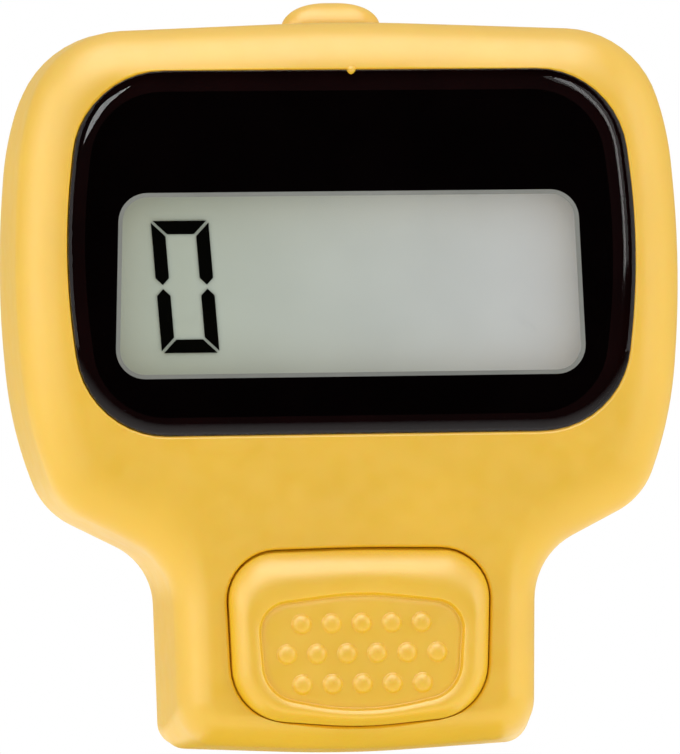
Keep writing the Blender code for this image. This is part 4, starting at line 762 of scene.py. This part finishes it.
def make_back_shell(yellow):
    profile = [(1.7, 10.6), (1.4, 9.6), (1.4, 7.06), (0.16, 7.06), (0.1, 7.12)]
    profile += rounded_back(0.1, 1.6, 12)
    steps = [
        (JOIN, plate("door_pad", DOOR_OUTLINE, front=9.92, back=DOOR_BED_DEPTH, grow=0.4)),
        (JOIN, rod("well_wall", 0.0, CELL_CENTRE, 6.8, 7.3, DOOR_BED_DEPTH, segments=96)),
        (JOIN, rod("door_boss", 0.0, DOOR_SCREW, radius=1.5, front=8.12, back=DOOR_BED_DEPTH)),
    ]
    steps += screwed(CASE_SCREWS, (JOIN, "boss", 1.95, 7.16, DOOR_BED_DEPTH))
    for side in (-6.3, 6.3):
        width = (side - 0.7, side + 0.7)
        steps.append((JOIN, deep_box("keeper", width, (-6.2, 6.2), 11.3, 14.5, 0.35, 4)))
        width = (side - 1.7, side + 1.7)
        steps.append((CUT, deep_box("keeper_gap", width, (-4.9, 4.9), BACK_DEPTH, 13.4)))
    slot_height = (CELL_CENTRE - 1.3, CELL_CENTRE + 1.3)
    steps += [
        (CUT, rod("well_bore", 0.0, CELL_CENTRE, 6.05, 6.3, CUT_DEPTH, segments=96)),
        (CUT, plate("door_recess", DOOR_OUTLINE, front=10.72, back=CUT_DEPTH, grow=0.12)),
        (CUT, rod("door_pilot", 0.0, DOOR_SCREW, 0.7, 8.62, CUT_DEPTH)),
        (CUT, deep_box("contact_slot", (4.8, 7.1), slot_height, 6.3, 9.92)),
        (CUT, reset_hole()),
    ]
    hole = (CUT, "screw_hole", 0.85, 6.0, CUT_DEPTH)
    steps += screwed(CASE_SCREWS, hole, (CUT, "screw_sink", 1.45, 10.42, BACK_DEPTH, 0.14))
    mesh = carve(loft("back_shell", case_outline(PARTING_DEPTH), profile), steps)
    finish_piece("back_shell", mesh, "case", "case", [yellow], ["back_case"])


def make_door(yellow):
    """Battery door with softened edges and a ribbed thumb pad."""
    profile = [(0.0, 10.8)] + rounded_back(0.0, 0.18, 3)
    steps = [
        (JOIN, rod("door_plug", 0.0, CELL_CENTRE, 5.4, 10.08, 11.05, segments=96)),
        (CUT, rod("door_hole", 0.0, DOOR_SCREW, 0.7, 9.8, CUT_DEPTH)),
        (CUT, rod("door_sink", 0.0, DOOR_SCREW, 1.2, 11.22, BACK_DEPTH, lip=0.12)),
    ]
    first_groove = -20.6
    groove_pitch = 0.75
    for row in range(5):
        z = first_groove + row * groove_pitch
        half = 3.4 - 0.25 * abs(row - 2)
        groove = deep_box("thumb_groove", (-half, half), (z - 0.16, z + 0.16), 11.62, 12.6, edge=0.12)
        steps.append((CUT, groove))
    mesh = carve(loft("door_panel", DOOR_OUTLINE, profile), steps)
    finish_piece("door_panel", mesh, "battery_door", "case", [yellow], ["battery_door"])


# Lens and display


def make_lens(settings, clear, ink_and_reflection):
    """Clear lens with a curved border, a rounded front edge and a blackened side; the side's black ink has a
    reddish tint that is a painted reflection of the yellow case.
    """
    proud = settings.proud / MM
    edge = settings.edge_round / MM
    border = settings.border / MM
    tilt = settings.border_tilt
    rim = edge * (1.0 - math.sin(tilt))
    radius = (border - rim) / math.sin(tilt)
    fall = radius * (1.0 - math.cos(tilt))
    start = fall - proud - edge * (1.0 - math.cos(tilt))
    profile = [(0.9, LENS_BACK), (0.0, LENS_BACK)]
    for step in range(6):
        inset, drop = quarter_round(edge, (math.pi / 2 - tilt) * step / 5)
        profile.append((inset, start + drop))
    for step in range(1, 17):
        angle = tilt * (1.0 - step / 16)
        profile.append((border - radius * math.sin(angle), radius * (1.0 - math.cos(angle)) - proud))
    profile += [(inset, -proud) for inset in (2.0, 4.0, 6.0)]
    mesh = loft("lens_window", LENS_OUTLINE, profile)
    piece = finish_piece("lens_window", mesh, "case", "lens", [clear, ink_and_reflection], ["display_lens"])
    let_light_through(piece)
    # The side's faces get the black ink with its reddish painted reflection
    side_limit = (FRONT_FACE_Y - proud + fall + edge * 0.8) * MM
    for face in mesh.polygons:
        if face.center.y > side_limit and len(face.vertices) == 4:
            face.material_index = 1


def make_mask(settings, ink, pale):
    """Black film behind the lens; the bevel round the display window is pale grey, a painted highlight of
    its lit inner wall.
    """
    bevel = settings.window_bevel / MM
    profile = ((-0.1, 1.18), (0.0, 1.245), (bevel, 1.33), (bevel, 1.5))
    film = plate("window_mask", LENS_OUTLINE, front=1.24, back=1.34, grow=-0.4)
    mesh = carve(film, [(CUT, loft("window_cutter", WINDOW_OUTLINE, profile))])
    piece = finish_piece("window_mask", mesh, "case", "mask", [ink, pale], ["lens_mask"])
    let_light_through(piece)
    # The bevel's faces get the pale grey of the painted highlight
    for face in mesh.polygons:
        near = abs(face.center.x) < 11.7 * MM and abs(face.center.z + 1.15 * MM) < 4.7 * MM
        if near and abs(face.normal.y) < 0.98:
            face.material_index = 1


def make_plate(name, node, slot, material):
    """A thin plate of the display with softened edges, in the place of its solid."""
    low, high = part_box(node)
    mesh = soft_box(name, Vector(low) / MM, Vector(high) / MM, 0.04, 2)
    return finish_piece(name, mesh, "case", slot, [material], [node])


# Buttons


def make_count_key(settings, yellow):
    """Count button: rounded rim, a crest and a shallow soft-edged panel."""
    outer = fillet(BUTTON_OUTLINE)
    panel = fillet(PANEL_OUTLINE)
    proud = settings.proud / MM
    edge = settings.edge_round / MM
    floor = -proud + settings.panel_depth / MM
    groove = floor + 0.06
    crest = 0.72
    fall = 0.08
    skirt = fillet(OPENING_OUTLINE, 0.03)
    gap_top = 0.42
    gap_fall = 0.28
    gap_depths = [gap_top - gap_fall * smooth((BUTTON_TOP - z) / 8.5) for x, z in skirt]
    flange = fillet(BUTTON_OUTLINE, -0.35)
    flange_front = 1.58
    rings = [
        at_depth(flange, 2.28),
        at_depth(flange, flange_front),
        at_depth(skirt, flange_front),
        at_depth(skirt, gap_depths),
        at_depth(outer, [depth - 0.12 for depth in gap_depths]),
    ]

    def rim_ring(share, depth):
        rings.append(at_depth([between(a, b, share) for a, b in zip(outer, panel)], depth))

    for step, angle in enumerate(quarter(16)):
        share = crest * (0.5 - 0.5 * math.cos(angle) + step / 32)
        rim_ring(share, -proud + quarter_round(edge, angle)[1])
    for step in range(1, 11):
        share = step / 10
        rim_ring(crest + (1.0 - crest) * share, -proud + fall * share * share)
    for step in range(1, 9):
        share = step / 8
        depth = -proud + fall + (groove + proud - fall) * smooth(share)
        rings.append(outline_ring(PANEL_OUTLINE, 0.16 * share, depth))
    for inset, rise in ((0.2, 0.0), (0.26, 0.02), (0.36, 0.045), (0.5, 0.06)):
        rings.append(outline_ring(PANEL_OUTLINE, inset, groove - rise))
    inner = fillet(PANEL_OUTLINE, 0.5)
    for share in (0.25, 0.5, 0.75):
        rings.append(at_depth([between(point, (0.0, PANEL_MIDDLE), share) for point in inner], floor))
    steps = [
        (JOIN, rod("key_stem", 0.0, BUTTON_CENTRE, 1.6, 2.0, 2.65)),
        (JOIN, grip_dots(settings, yellow)),
    ]
    mesh = carve(skin("count_key", rings), steps)
    finish_piece("count_key", mesh, "count_button", "button", [yellow], ["count_button"])


def make_reset_key(yellow):
    """Reset button: an elliptical dome over a flange."""
    outline = reset_outline(grow=0.0, radius=1.08)
    flange = reset_outline(grow=0.45, radius=1.4)
    low = TOP_HEIGHT - 2.25
    flange_top = low + 0.7
    dome_base = TOP_HEIGHT - 0.1
    height = 1.23
    rings = [on_top(flange, low), on_top(flange, flange_top), on_top(outline, flange_top)]
    for step in range(17):
        angle = math.radians(88.0) * step / 16
        scale = max(math.cos(angle) ** 0.8, 0.02)
        rings.append(on_top(outline, dome_base + height * math.sin(angle), scale))
    mesh = skin("reset_key", rings)
    finish_piece("reset_key", mesh, "reset_button", "button", [yellow], ["reset_button"])


# Finger strap


def on_loop(radius, degrees):
    angle = math.radians(degrees)
    return Vector((radius * math.cos(angle), radius * math.sin(angle)))


def outer_layer(degrees):
    """The strap's outer end lies over its inner end."""
    return on_loop(STRAP_RADIUS + STRAP_OVERLAP * smooth((168.0 - degrees) / (168.0 - 127.0)), degrees)


def strap_points():
    """Middle line of the band in mm, from its inner end round the back of the case to its outer end."""
    side = STRAP_RADIUS - STRAP_CORNER
    level = STRAP_FLAT + STRAP_CORNER
    arc = [math.radians(degrees) for degrees in range(0, 91, 9)]
    points = [on_loop(STRAP_RADIUS, degrees) for degrees in range(121, 0, -3)]
    points.append(on_loop(STRAP_RADIUS, 0))
    for turn in arc:
        points.append(Vector((side + STRAP_CORNER * math.cos(turn), level - STRAP_CORNER * math.sin(turn))))
    for step in range(1, 12):
        points.append(Vector((side * (1.0 - step / 6), STRAP_FLAT)))
    for turn in arc:
        points.append(Vector((-side - STRAP_CORNER * math.sin(turn), level - STRAP_CORNER * math.cos(turn))))
    points += [outer_layer(degrees) for degrees in range(180, 52, -3)]
    points.append(outer_layer(52))
    return points


def band_section(half_width, half_thickness, edge):
    """Rounded rectangle across the band: offset from the middle line, and height."""
    points = []
    for centre_t, centre_z, start in ((1, 1, 0), (-1, 1, 90), (-1, -1, 180), (1, -1, 270)):
        for step in range(5):
            angle = math.radians(start + 90 * step / 4)
            offset = centre_t * (half_thickness - edge) + edge * math.cos(angle)
            height = centre_z * (half_width - edge) + edge * math.sin(angle)
            points.append((offset, height))
    return points


def band_rings(edge):
    """Rings along the strap, with rounded and thinned ends."""
    path = strap_points()
    tip_length = 2.6
    tip_narrowing = 2.0
    thin_length = 0.6
    lengths = [0.0]
    for before, after in zip(path, path[1:]):
        lengths.append(lengths[-1] + (after - before).length)
    rings = []
    for index, point in enumerate(path):
        before = path[max(index - 1, 0)]
        after = path[min(index + 1, len(path) - 1)]
        way = (after - before).normalized()
        side = Vector((-way.y, way.x))
        rest = min(lengths[index], lengths[-1] - lengths[index])
        tip = min(rest / tip_length, 1.0)
        half_width = STRAP_HALF_WIDTH - tip_narrowing * (1.0 - math.sqrt(max(0.0, 1.0 - (1.0 - tip) ** 2)))
        half_thickness = STRAP_HALF_THICKNESS * (0.62 + 0.38 * min(rest / thin_length, 1.0))
        ring = []
        for offset, height in band_section(half_width, half_thickness, min(edge, half_thickness * 0.9)):
            place = point + side * offset
            ring.append(Vector((place.x, place.y, height)) * MM)
        rings.append(ring)
    return rings


def make_band(settings, rubber):
    hole = ((1.1, 10.36), (1.1, 11.3), (1.16, 11.38), (1.28, 11.46), (1.28, 12.0))
    stud_base = 11.7
    stud = [(0.9, 9.8), (0.9, 11.6), (1.2, 11.6), (1.3, stud_base)]
    for turn in map(math.radians, (20, 45, 70, 88)):
        stud.append((1.3 * math.cos(turn) ** 0.7, stud_base + 0.35 * math.sin(turn)))
    steps = []
    for operation, profile, angles in ((CUT, hole, (65, 80, 95, 110)), (JOIN, stud, (80, 95))):
        for degrees in angles:
            place = Matrix.Rotation(math.radians(degrees), 4, "Z") @ Matrix.Rotation(math.pi / 2, 4, "Y")
            steps.append((operation, turned("strap_fastening", profile, place)))
    mesh = carve(skin("finger_band", band_rings(settings.edge_round / MM)), steps)
    finish_piece("finger_band", mesh, "case", "strap", [rubber], ["finger_strap"])


# Fasteners and grip dots by Geometry Nodes


def instance_tree():
    """A tree that sets one object on every point, turned by a fixed seed, and makes it real."""
    tree = bpy.data.node_groups.new("set_on_points", "GeometryNodeTree")
    tree.interface.new_socket("Geometry", in_out="OUTPUT", socket_type="NodeSocketGeometry")
    for name, kind in (("Points", "Geometry"), ("Part", "Object"), ("Size", "Float"),
                       ("Largest turn", "Float"), ("Seed", "Int"), ("Finish", "Material")):
        tree.interface.new_socket(name, in_out="INPUT", socket_type="NodeSocket" + kind)
    add, link = tree.nodes.new, tree.links.new
    given = add("NodeGroupInput").outputs
    result = add("NodeGroupOutput")
    part = add("GeometryNodeObjectInfo")
    turn = add("FunctionNodeRandomValue")
    turn.data_type = "FLOAT"
    turns = add("ShaderNodeCombineXYZ")
    setter = add("GeometryNodeInstanceOnPoints")
    real = add("GeometryNodeRealizeInstances")
    paint = add("GeometryNodeSetMaterial")
    link(given["Part"], part.inputs["Object"])
    link(given["Largest turn"], turn.inputs[3])
    link(given["Seed"], turn.inputs["Seed"])
    link(turn.outputs[1], turns.inputs["Y"])
    link(given["Points"], setter.inputs["Points"])
    link(part.outputs["Geometry"], setter.inputs["Instance"])
    link(turns.outputs["Vector"], setter.inputs["Rotation"])
    link(given["Size"], setter.inputs["Scale"])
    link(setter.outputs["Instances"], real.inputs["Geometry"])
    link(real.outputs["Geometry"], paint.inputs["Geometry"])
    link(given["Finish"], paint.inputs["Material"])
    link(paint.outputs["Geometry"], result.inputs["Geometry"])
    return tree


def set_on_points(name, places, part_mesh, material, largest_turn=0.0, seed=0):
    """Run the tree on a list of places in mm and return one plain mesh."""
    cloud = bpy.data.meshes.new(name)
    cloud.from_pydata([tuple(Vector(place) * MM) for place in places], [], [])
    carrier = new_piece(name + "_points", cloud)
    part = new_piece(name + "_part", part_mesh)
    tree = bpy.data.node_groups.get("set_on_points") or instance_tree()
    modifier = carrier.modifiers.new("set_on_points", "NODES")
    modifier.node_group = tree
    values = {"Part": part, "Size": 1.0, "Largest turn": largest_turn, "Seed": seed, "Finish": material}
    for item in tree.interface.items_tree:
        if item.in_out == "INPUT" and item.name in values:
            modifier[item.identifier] = values[item.name]
    mesh = plain_mesh(carrier)
    remove((carrier, part))
    if not mesh.polygons:
        raise RuntimeError(f"{name} came out empty")
    return mesh


def screw_mesh(name, radius, length, head_radius, head_height):
    """A pan-head screw with a cross recess, its head's underside at the origin, pointing to -Y."""
    height = -length + radius * 0.5
    profile = [(radius * 0.25, -length), (radius * 0.8, height)]
    while height < -radius * 0.8:
        profile.append((radius, height + radius * 0.16))
        profile.append((radius * 0.8, height + radius * 0.4))
        height += radius * 0.4
    profile += [(radius, -radius * 0.2), (radius, 0.0)]
    profile += [(head_radius * 0.97, 0.0), (head_radius, head_height * 0.1)]
    for turn in map(math.radians, (0, 25, 50, 70, 88)):
        rise = head_height * (0.55 + 0.45 * math.sin(turn))
        profile.append((head_radius * max(math.cos(turn), 0.02) ** 0.45, rise))
    long, short = head_radius * 0.6, head_radius * 0.15
    steps = []
    for half_x, half_z in ((long, short), (short, long)):
        low = (-half_x, head_height * 0.45, -half_z)
        high = (half_x, head_height * 1.5, half_z)
        steps.append((CUT, soft_box("recess", low, high, head_radius * 0.04, 1)))
    mesh = carve(turned(name, profile, ALONG_DEPTH, 40), steps)
    soften(mesh)
    return mesh


# Name, places, depth of the head, shank radius, length, head radius, head height, body, nodes and seed
SCREW_SETS = (
    ("case_screw_set", CASE_SCREWS, 10.5, (0.75, 5.6, 1.35, 0.9), "case",
     [f"case_screw_{number}" for number in range(1, 5)], 3),
    ("board_screw_set", BOARD_SCREWS, 6.08, (0.5, 2.4, 0.95, 0.6), "case",
     [f"board_screw_{number}" for number in range(1, 5)], 5),
    ("door_screw_set", ((0.0, DOOR_SCREW),), 11.3, (0.6, 2.2, 1.1, 0.5), "battery_door",
     ["battery_door_screw"], 8),
)


def make_screws(steel):
    for name, places, depth, sizes, body, nodes, seed in SCREW_SETS:
        points = [(x, FRONT_FACE_Y + depth, z) for x, z in places]
        mesh = set_on_points(name, points, screw_mesh(name, *sizes), steel, math.pi / 2, seed)
        finish_piece(name, mesh, body, "steel", [steel], nodes)


def grip_dots(settings, yellow):
    """Staggered rows of low domes for the count button's panel."""
    pitch = settings.dot_pitch / MM
    rows = settings.dot_rows
    floor = FRONT_FACE_Y - settings.proud / MM + settings.panel_depth / MM
    places = []
    for row in range(rows):
        columns = 5 + row % 2
        for column in range(columns):
            x = (column - (columns - 1) / 2) * pitch
            z = PANEL_MIDDLE + ((rows - 1) / 2 - row) * pitch
            places.append((x, floor, z))
    profile = [(0.5, 0.06), (0.5, -0.01)]
    for turn in map(math.radians, (8, 24, 40, 56, 72, 88)):
        profile.append((0.46 * math.cos(turn), -0.01 - 0.22 * math.sin(turn)))
    return set_on_points("grip_dots", places, turned("grip_dot", profile, ALONG_DEPTH, 24), yellow)


# Stage


def make_camera(settings):
    data = bpy.data.cameras.new("photo_camera")
    data.sensor_fit = "HORIZONTAL"
    data.sensor_width = SENSOR_WIDTH
    data.lens = settings.focal_pixels / PHOTO_WIDTH * SENSOR_WIDTH
    data.clip_start = 0.01
    data.clip_end = 20.0
    camera = new_piece("photo_camera", data)
    azimuth, elevation, roll = settings.azimuth, settings.elevation, settings.roll
    level = math.cos(elevation)
    back = Vector((math.sin(azimuth) * level, -math.cos(azimuth) * level, math.sin(elevation)))
    right = (-back).cross(Vector((0.0, 0.0, 1.0))).normalized()
    up = right.cross(-back)
    across = right * math.cos(roll) - up * math.sin(roll)
    upward = right * math.sin(roll) + up * math.cos(roll)
    place = Matrix((across, upward, back)).transposed().to_4x4()
    place.translation = Vector(CAMERA_AIM) + back * settings.distance
    camera.matrix_world = place
    bpy.context.scene.camera = camera


def add_lamp(name, place, aim, size, power, kind, receivers):
    data = bpy.data.lights.new(name, "AREA")
    data.shape = "RECTANGLE"
    data.size, data.size_y = size
    data.energy = power
    lamp = new_piece(name, data)
    lamp.location = place
    lamp.rotation_euler = (Vector(aim) - Vector(place)).to_track_quat("-Z", "Y").to_euler()
    lamp.visible_camera = False
    lamp.visible_glossy = kind != "soft"
    lamp.visible_diffuse = kind != "shine"
    if receivers:
        lamp.light_linking.receiver_collection = bpy.data.collections[receivers]


def seen_directly(tree):
    """1 for rays from the camera and for mirror and glass rays, 0 for the rest."""
    rays = tree.nodes.new("ShaderNodeLightPath").outputs
    total = rays["Is Camera Ray"]
    for name in ("Is Glossy Ray", "Is Transmission Ray"):
        total = calculated(tree, "MAXIMUM", total, rays[name])
    return total


def make_world(settings):
    """Even light all round that looks white to the camera."""
    world = bpy.data.worlds.new("studio")
    bpy.context.scene.world = world
    world.use_nodes = True
    tree = world.node_tree
    soft = tree.nodes["Background"]
    white = tree.nodes.new("ShaderNodeBackground")
    for node, strength in ((soft, settings.ambient), (white, 1.0)):
        set_inputs(node, {"Color": (1.0, 1.0, 1.0, 1.0), "Strength": strength})
    backgrounds = (soft.outputs["Background"], white.outputs["Background"])
    mix_shaders(tree, seen_directly(tree), *backgrounds, "World Output")


def make_floor():
    """A pale floor below the counter: it looks white where it is lit, and keeps the shadow."""
    reach = FLOOR_REACH
    floor = sheet("floor", (-reach, -reach, FLOOR_HEIGHT), (reach, reach, FLOOR_HEIGHT))
    material, tree, shader = new_material("pale_floor")
    set_inputs(shader, {
        "Base Color": (0.86, 0.86, 0.86, 1.0),
        "Roughness": 0.9,
        "Emission Color": (1.0, 1.0, 1.0, 1.0),
    })
    fill = calculated(tree, "MULTIPLY", seen_directly(tree), FLOOR_FILL)
    tree.links.new(fill, shader.inputs["Emission Strength"])
    floor.data.materials.append(material)


def add_card(name, low, high, shade, fade):
    card = sheet(name, low, high)
    material, tree, shader = new_material(name)
    set_inputs(shader, {
        "Base Color": (shade, shade, shade, 1.0),
        "Roughness": 1.0,
        "Specular IOR Level": 0.0,
    })
    if fade:
        rising = ranged(tree, object_axis(tree, "Y"), 0.0, shade, *fade)
        tree.links.new(calculated(tree, "POWER", rising, FADE_POWER), shader.inputs["Base Color"])
    card.data.materials.append(material)
    for kind in ("camera", "diffuse", "transmission", "volume_scatter", "shadow"):
        setattr(card, f"visible_{kind}", False)


# Operators


class COUNTER_OT_stage(bpy.types.Operator):
    """Make the floor, the cards, the lamps, the world and the camera"""

    bl_idname = "counter.stage"
    bl_label = "Stage"

    def execute(self, context):
        settings = context.scene.counter_stage
        make_camera(settings)
        make_world(settings)
        make_floor()
        for card in CARDS:
            add_card(*card)
        for name in sorted(set(RECEIVERS.values())):
            bpy.data.collections.new(name)
        for name, place, aim, size, power, kind, receivers in LAMPS:
            add_lamp(name, place, aim, size, power * settings.lamp_level, kind, receivers)
        context.scene.view_settings.view_transform = "Standard"
        return {"FINISHED"}


class COUNTER_OT_front_shell(bpy.types.Operator):
    """Make the front half of the case"""

    bl_idname = "counter.front_shell"
    bl_label = "Front shell"

    def execute(self, context):
        make_front_shell(context.scene.counter_case, yellow_plastic())
        return {"FINISHED"}


class COUNTER_OT_back_shell(bpy.types.Operator):
    """Make the back half of the case and the battery door"""

    bl_idname = "counter.back_shell"
    bl_label = "Back shell and door"

    def execute(self, context):
        make_back_shell(yellow_plastic())
        make_door(yellow_plastic())
        return {"FINISHED"}


class COUNTER_OT_lens(bpy.types.Operator):
    """Make the display lens and the mask behind it"""

    bl_idname = "counter.lens"
    bl_label = "Display lens and mask"

    def execute(self, context):
        settings = context.scene.counter_lens
        # Black edge ink with a reddish tint, a painted reflection of the yellow case
        ink_and_reflection = moulded("lens_edge_ink_and_reflection", (0.0045, 0.0006, 0.0008), 0.4, 0.3, gloss=0.02)
        make_lens(settings, clear_sheet("clear_lens", 0.04), ink_and_reflection)
        mask_ink = moulded("mask_ink", (0.0012, 0.0006, 0.0007), 0.5, 0.3, gloss=0.0)
        # The window bevel's pale grey is a painted highlight of its lit inner wall
        make_mask(settings, mask_ink, moulded("bevel_painted_highlight", (0.25, 0.26, 0.24), 0.5, 0.1))
        return {"FINISHED"}


class COUNTER_OT_display(bpy.types.Operator):
    """Make the display's plates and give its segments and reflector their finishes"""

    bl_idname = "counter.display"
    bl_label = "Display layers"

    def execute(self, context):
        film = clear_sheet("polarizer_film", 0.15, (0.97, 0.98, 0.96), 1.2)
        glass = clear_sheet("display_glass", 0.05, (0.99, 1.0, 0.99), 1.2)
        grey = display_grey_and_painted_sheen(tuple(context.scene.counter_lens.display_colour))
        let_light_through(make_plate("polarizer", "lcd_front_polarizer", "display_film", film))
        let_light_through(make_plate("front_glass", "lcd_front_glass", "display_glass", glass))
        make_plate("rear_glass", "lcd_rear_glass", "display_glass", grey)
        silver = moulded("reflector_film", (0.5, 0.53, 0.48), 0.4, 0.05, metallic=0.5)
        repaint(["lcd_reflector"], silver)
        black = moulded("lit_segment", (0.002, 0.002, 0.0015), 0.6, 0.2, gloss=0.0)
        repaint([f"lcd_segment_{letter}" for letter in "abcdef"], black)
        return {"FINISHED"}


class COUNTER_OT_buttons(bpy.types.Operator):
    """Make the count button with its grip dots, and the reset button"""

    bl_idname = "counter.buttons"
    bl_label = "Buttons"

    def execute(self, context):
        make_count_key(context.scene.counter_button, yellow_plastic())
        make_reset_key(yellow_plastic())
        return {"FINISHED"}


class COUNTER_OT_strap(bpy.types.Operator):
    """Make the finger strap"""

    bl_idname = "counter.strap"
    bl_label = "Finger strap"

    def execute(self, context):
        settings = context.scene.counter_strap
        make_band(settings, moulded("strap_rubber", tuple(settings.colour), 0.55, 0.05, 5000.0, 0.05))
        return {"FINISHED"}


class COUNTER_OT_screws(bpy.types.Operator):
    """Make the screws of the case, the board and the door"""

    bl_idname = "counter.screws"
    bl_label = "Screws"

    def execute(self, context):
        make_screws(moulded("screw_steel", (0.55, 0.55, 0.56), 0.28, 0.08, 7000.0, 0.03, metallic=1.0))
        return {"FINISHED"}


class COUNTER_OT_inner_parts(bpy.types.Operator):
    """Give the pieces inside the case their finishes"""

    bl_idname = "counter.inner_parts"
    bl_label = "Inner parts"

    def execute(self, context):
        for name, colour, roughness, mottle, others, nodes in INNER_FINISHES:
            repaint(nodes, moulded(name, colour, roughness, mottle, **others))
        return {"FINISHED"}


class COUNTER_PT_pieces(bpy.types.Panel):
    bl_label = "Finger counter"
    bl_space_type = "VIEW_3D"
    bl_region_type = "UI"
    bl_category = "Finger counter"

    def draw(self, context):
        layout = self.layout
        for operator in OPERATORS:
            layout.operator(operator.bl_idname)
        for name in SETTINGS:
            box = layout.box()
            group = getattr(context.scene, name)
            for field in group.__annotations__:
                box.prop(group, field)


SETTINGS = {
    "counter_case": CaseSettings,
    "counter_lens": LensSettings,
    "counter_button": ButtonSettings,
    "counter_strap": StrapSettings,
    "counter_stage": StageSettings,
}
OPERATORS = (
    COUNTER_OT_stage,
    COUNTER_OT_front_shell,
    COUNTER_OT_back_shell,
    COUNTER_OT_lens,
    COUNTER_OT_display,
    COUNTER_OT_buttons,
    COUNTER_OT_strap,
    COUNTER_OT_screws,
    COUNTER_OT_inner_parts,
)


def register():
    for name, group in SETTINGS.items():
        bpy.utils.register_class(group)
        setattr(bpy.types.Scene, name, PointerProperty(type=group))
    for operator in OPERATORS:
        bpy.utils.register_class(operator)
    bpy.utils.register_class(COUNTER_PT_pieces)


def unregister():
    bpy.utils.unregister_class(COUNTER_PT_pieces)
    for operator in reversed(OPERATORS):
        bpy.utils.unregister_class(operator)
    for name, group in reversed(list(SETTINGS.items())):
        delattr(bpy.types.Scene, name)
        bpy.utils.unregister_class(group)


def main():
    register()
    bpy.ops.counter.stage()
    bpy.ops.counter.front_shell()
    bpy.ops.counter.back_shell()
    bpy.ops.counter.lens()
    bpy.ops.counter.display()
    bpy.ops.counter.buttons()
    bpy.ops.counter.strap()
    bpy.ops.counter.screws()
    bpy.ops.counter.inner_parts()


if __name__ == "__main__":
    main()
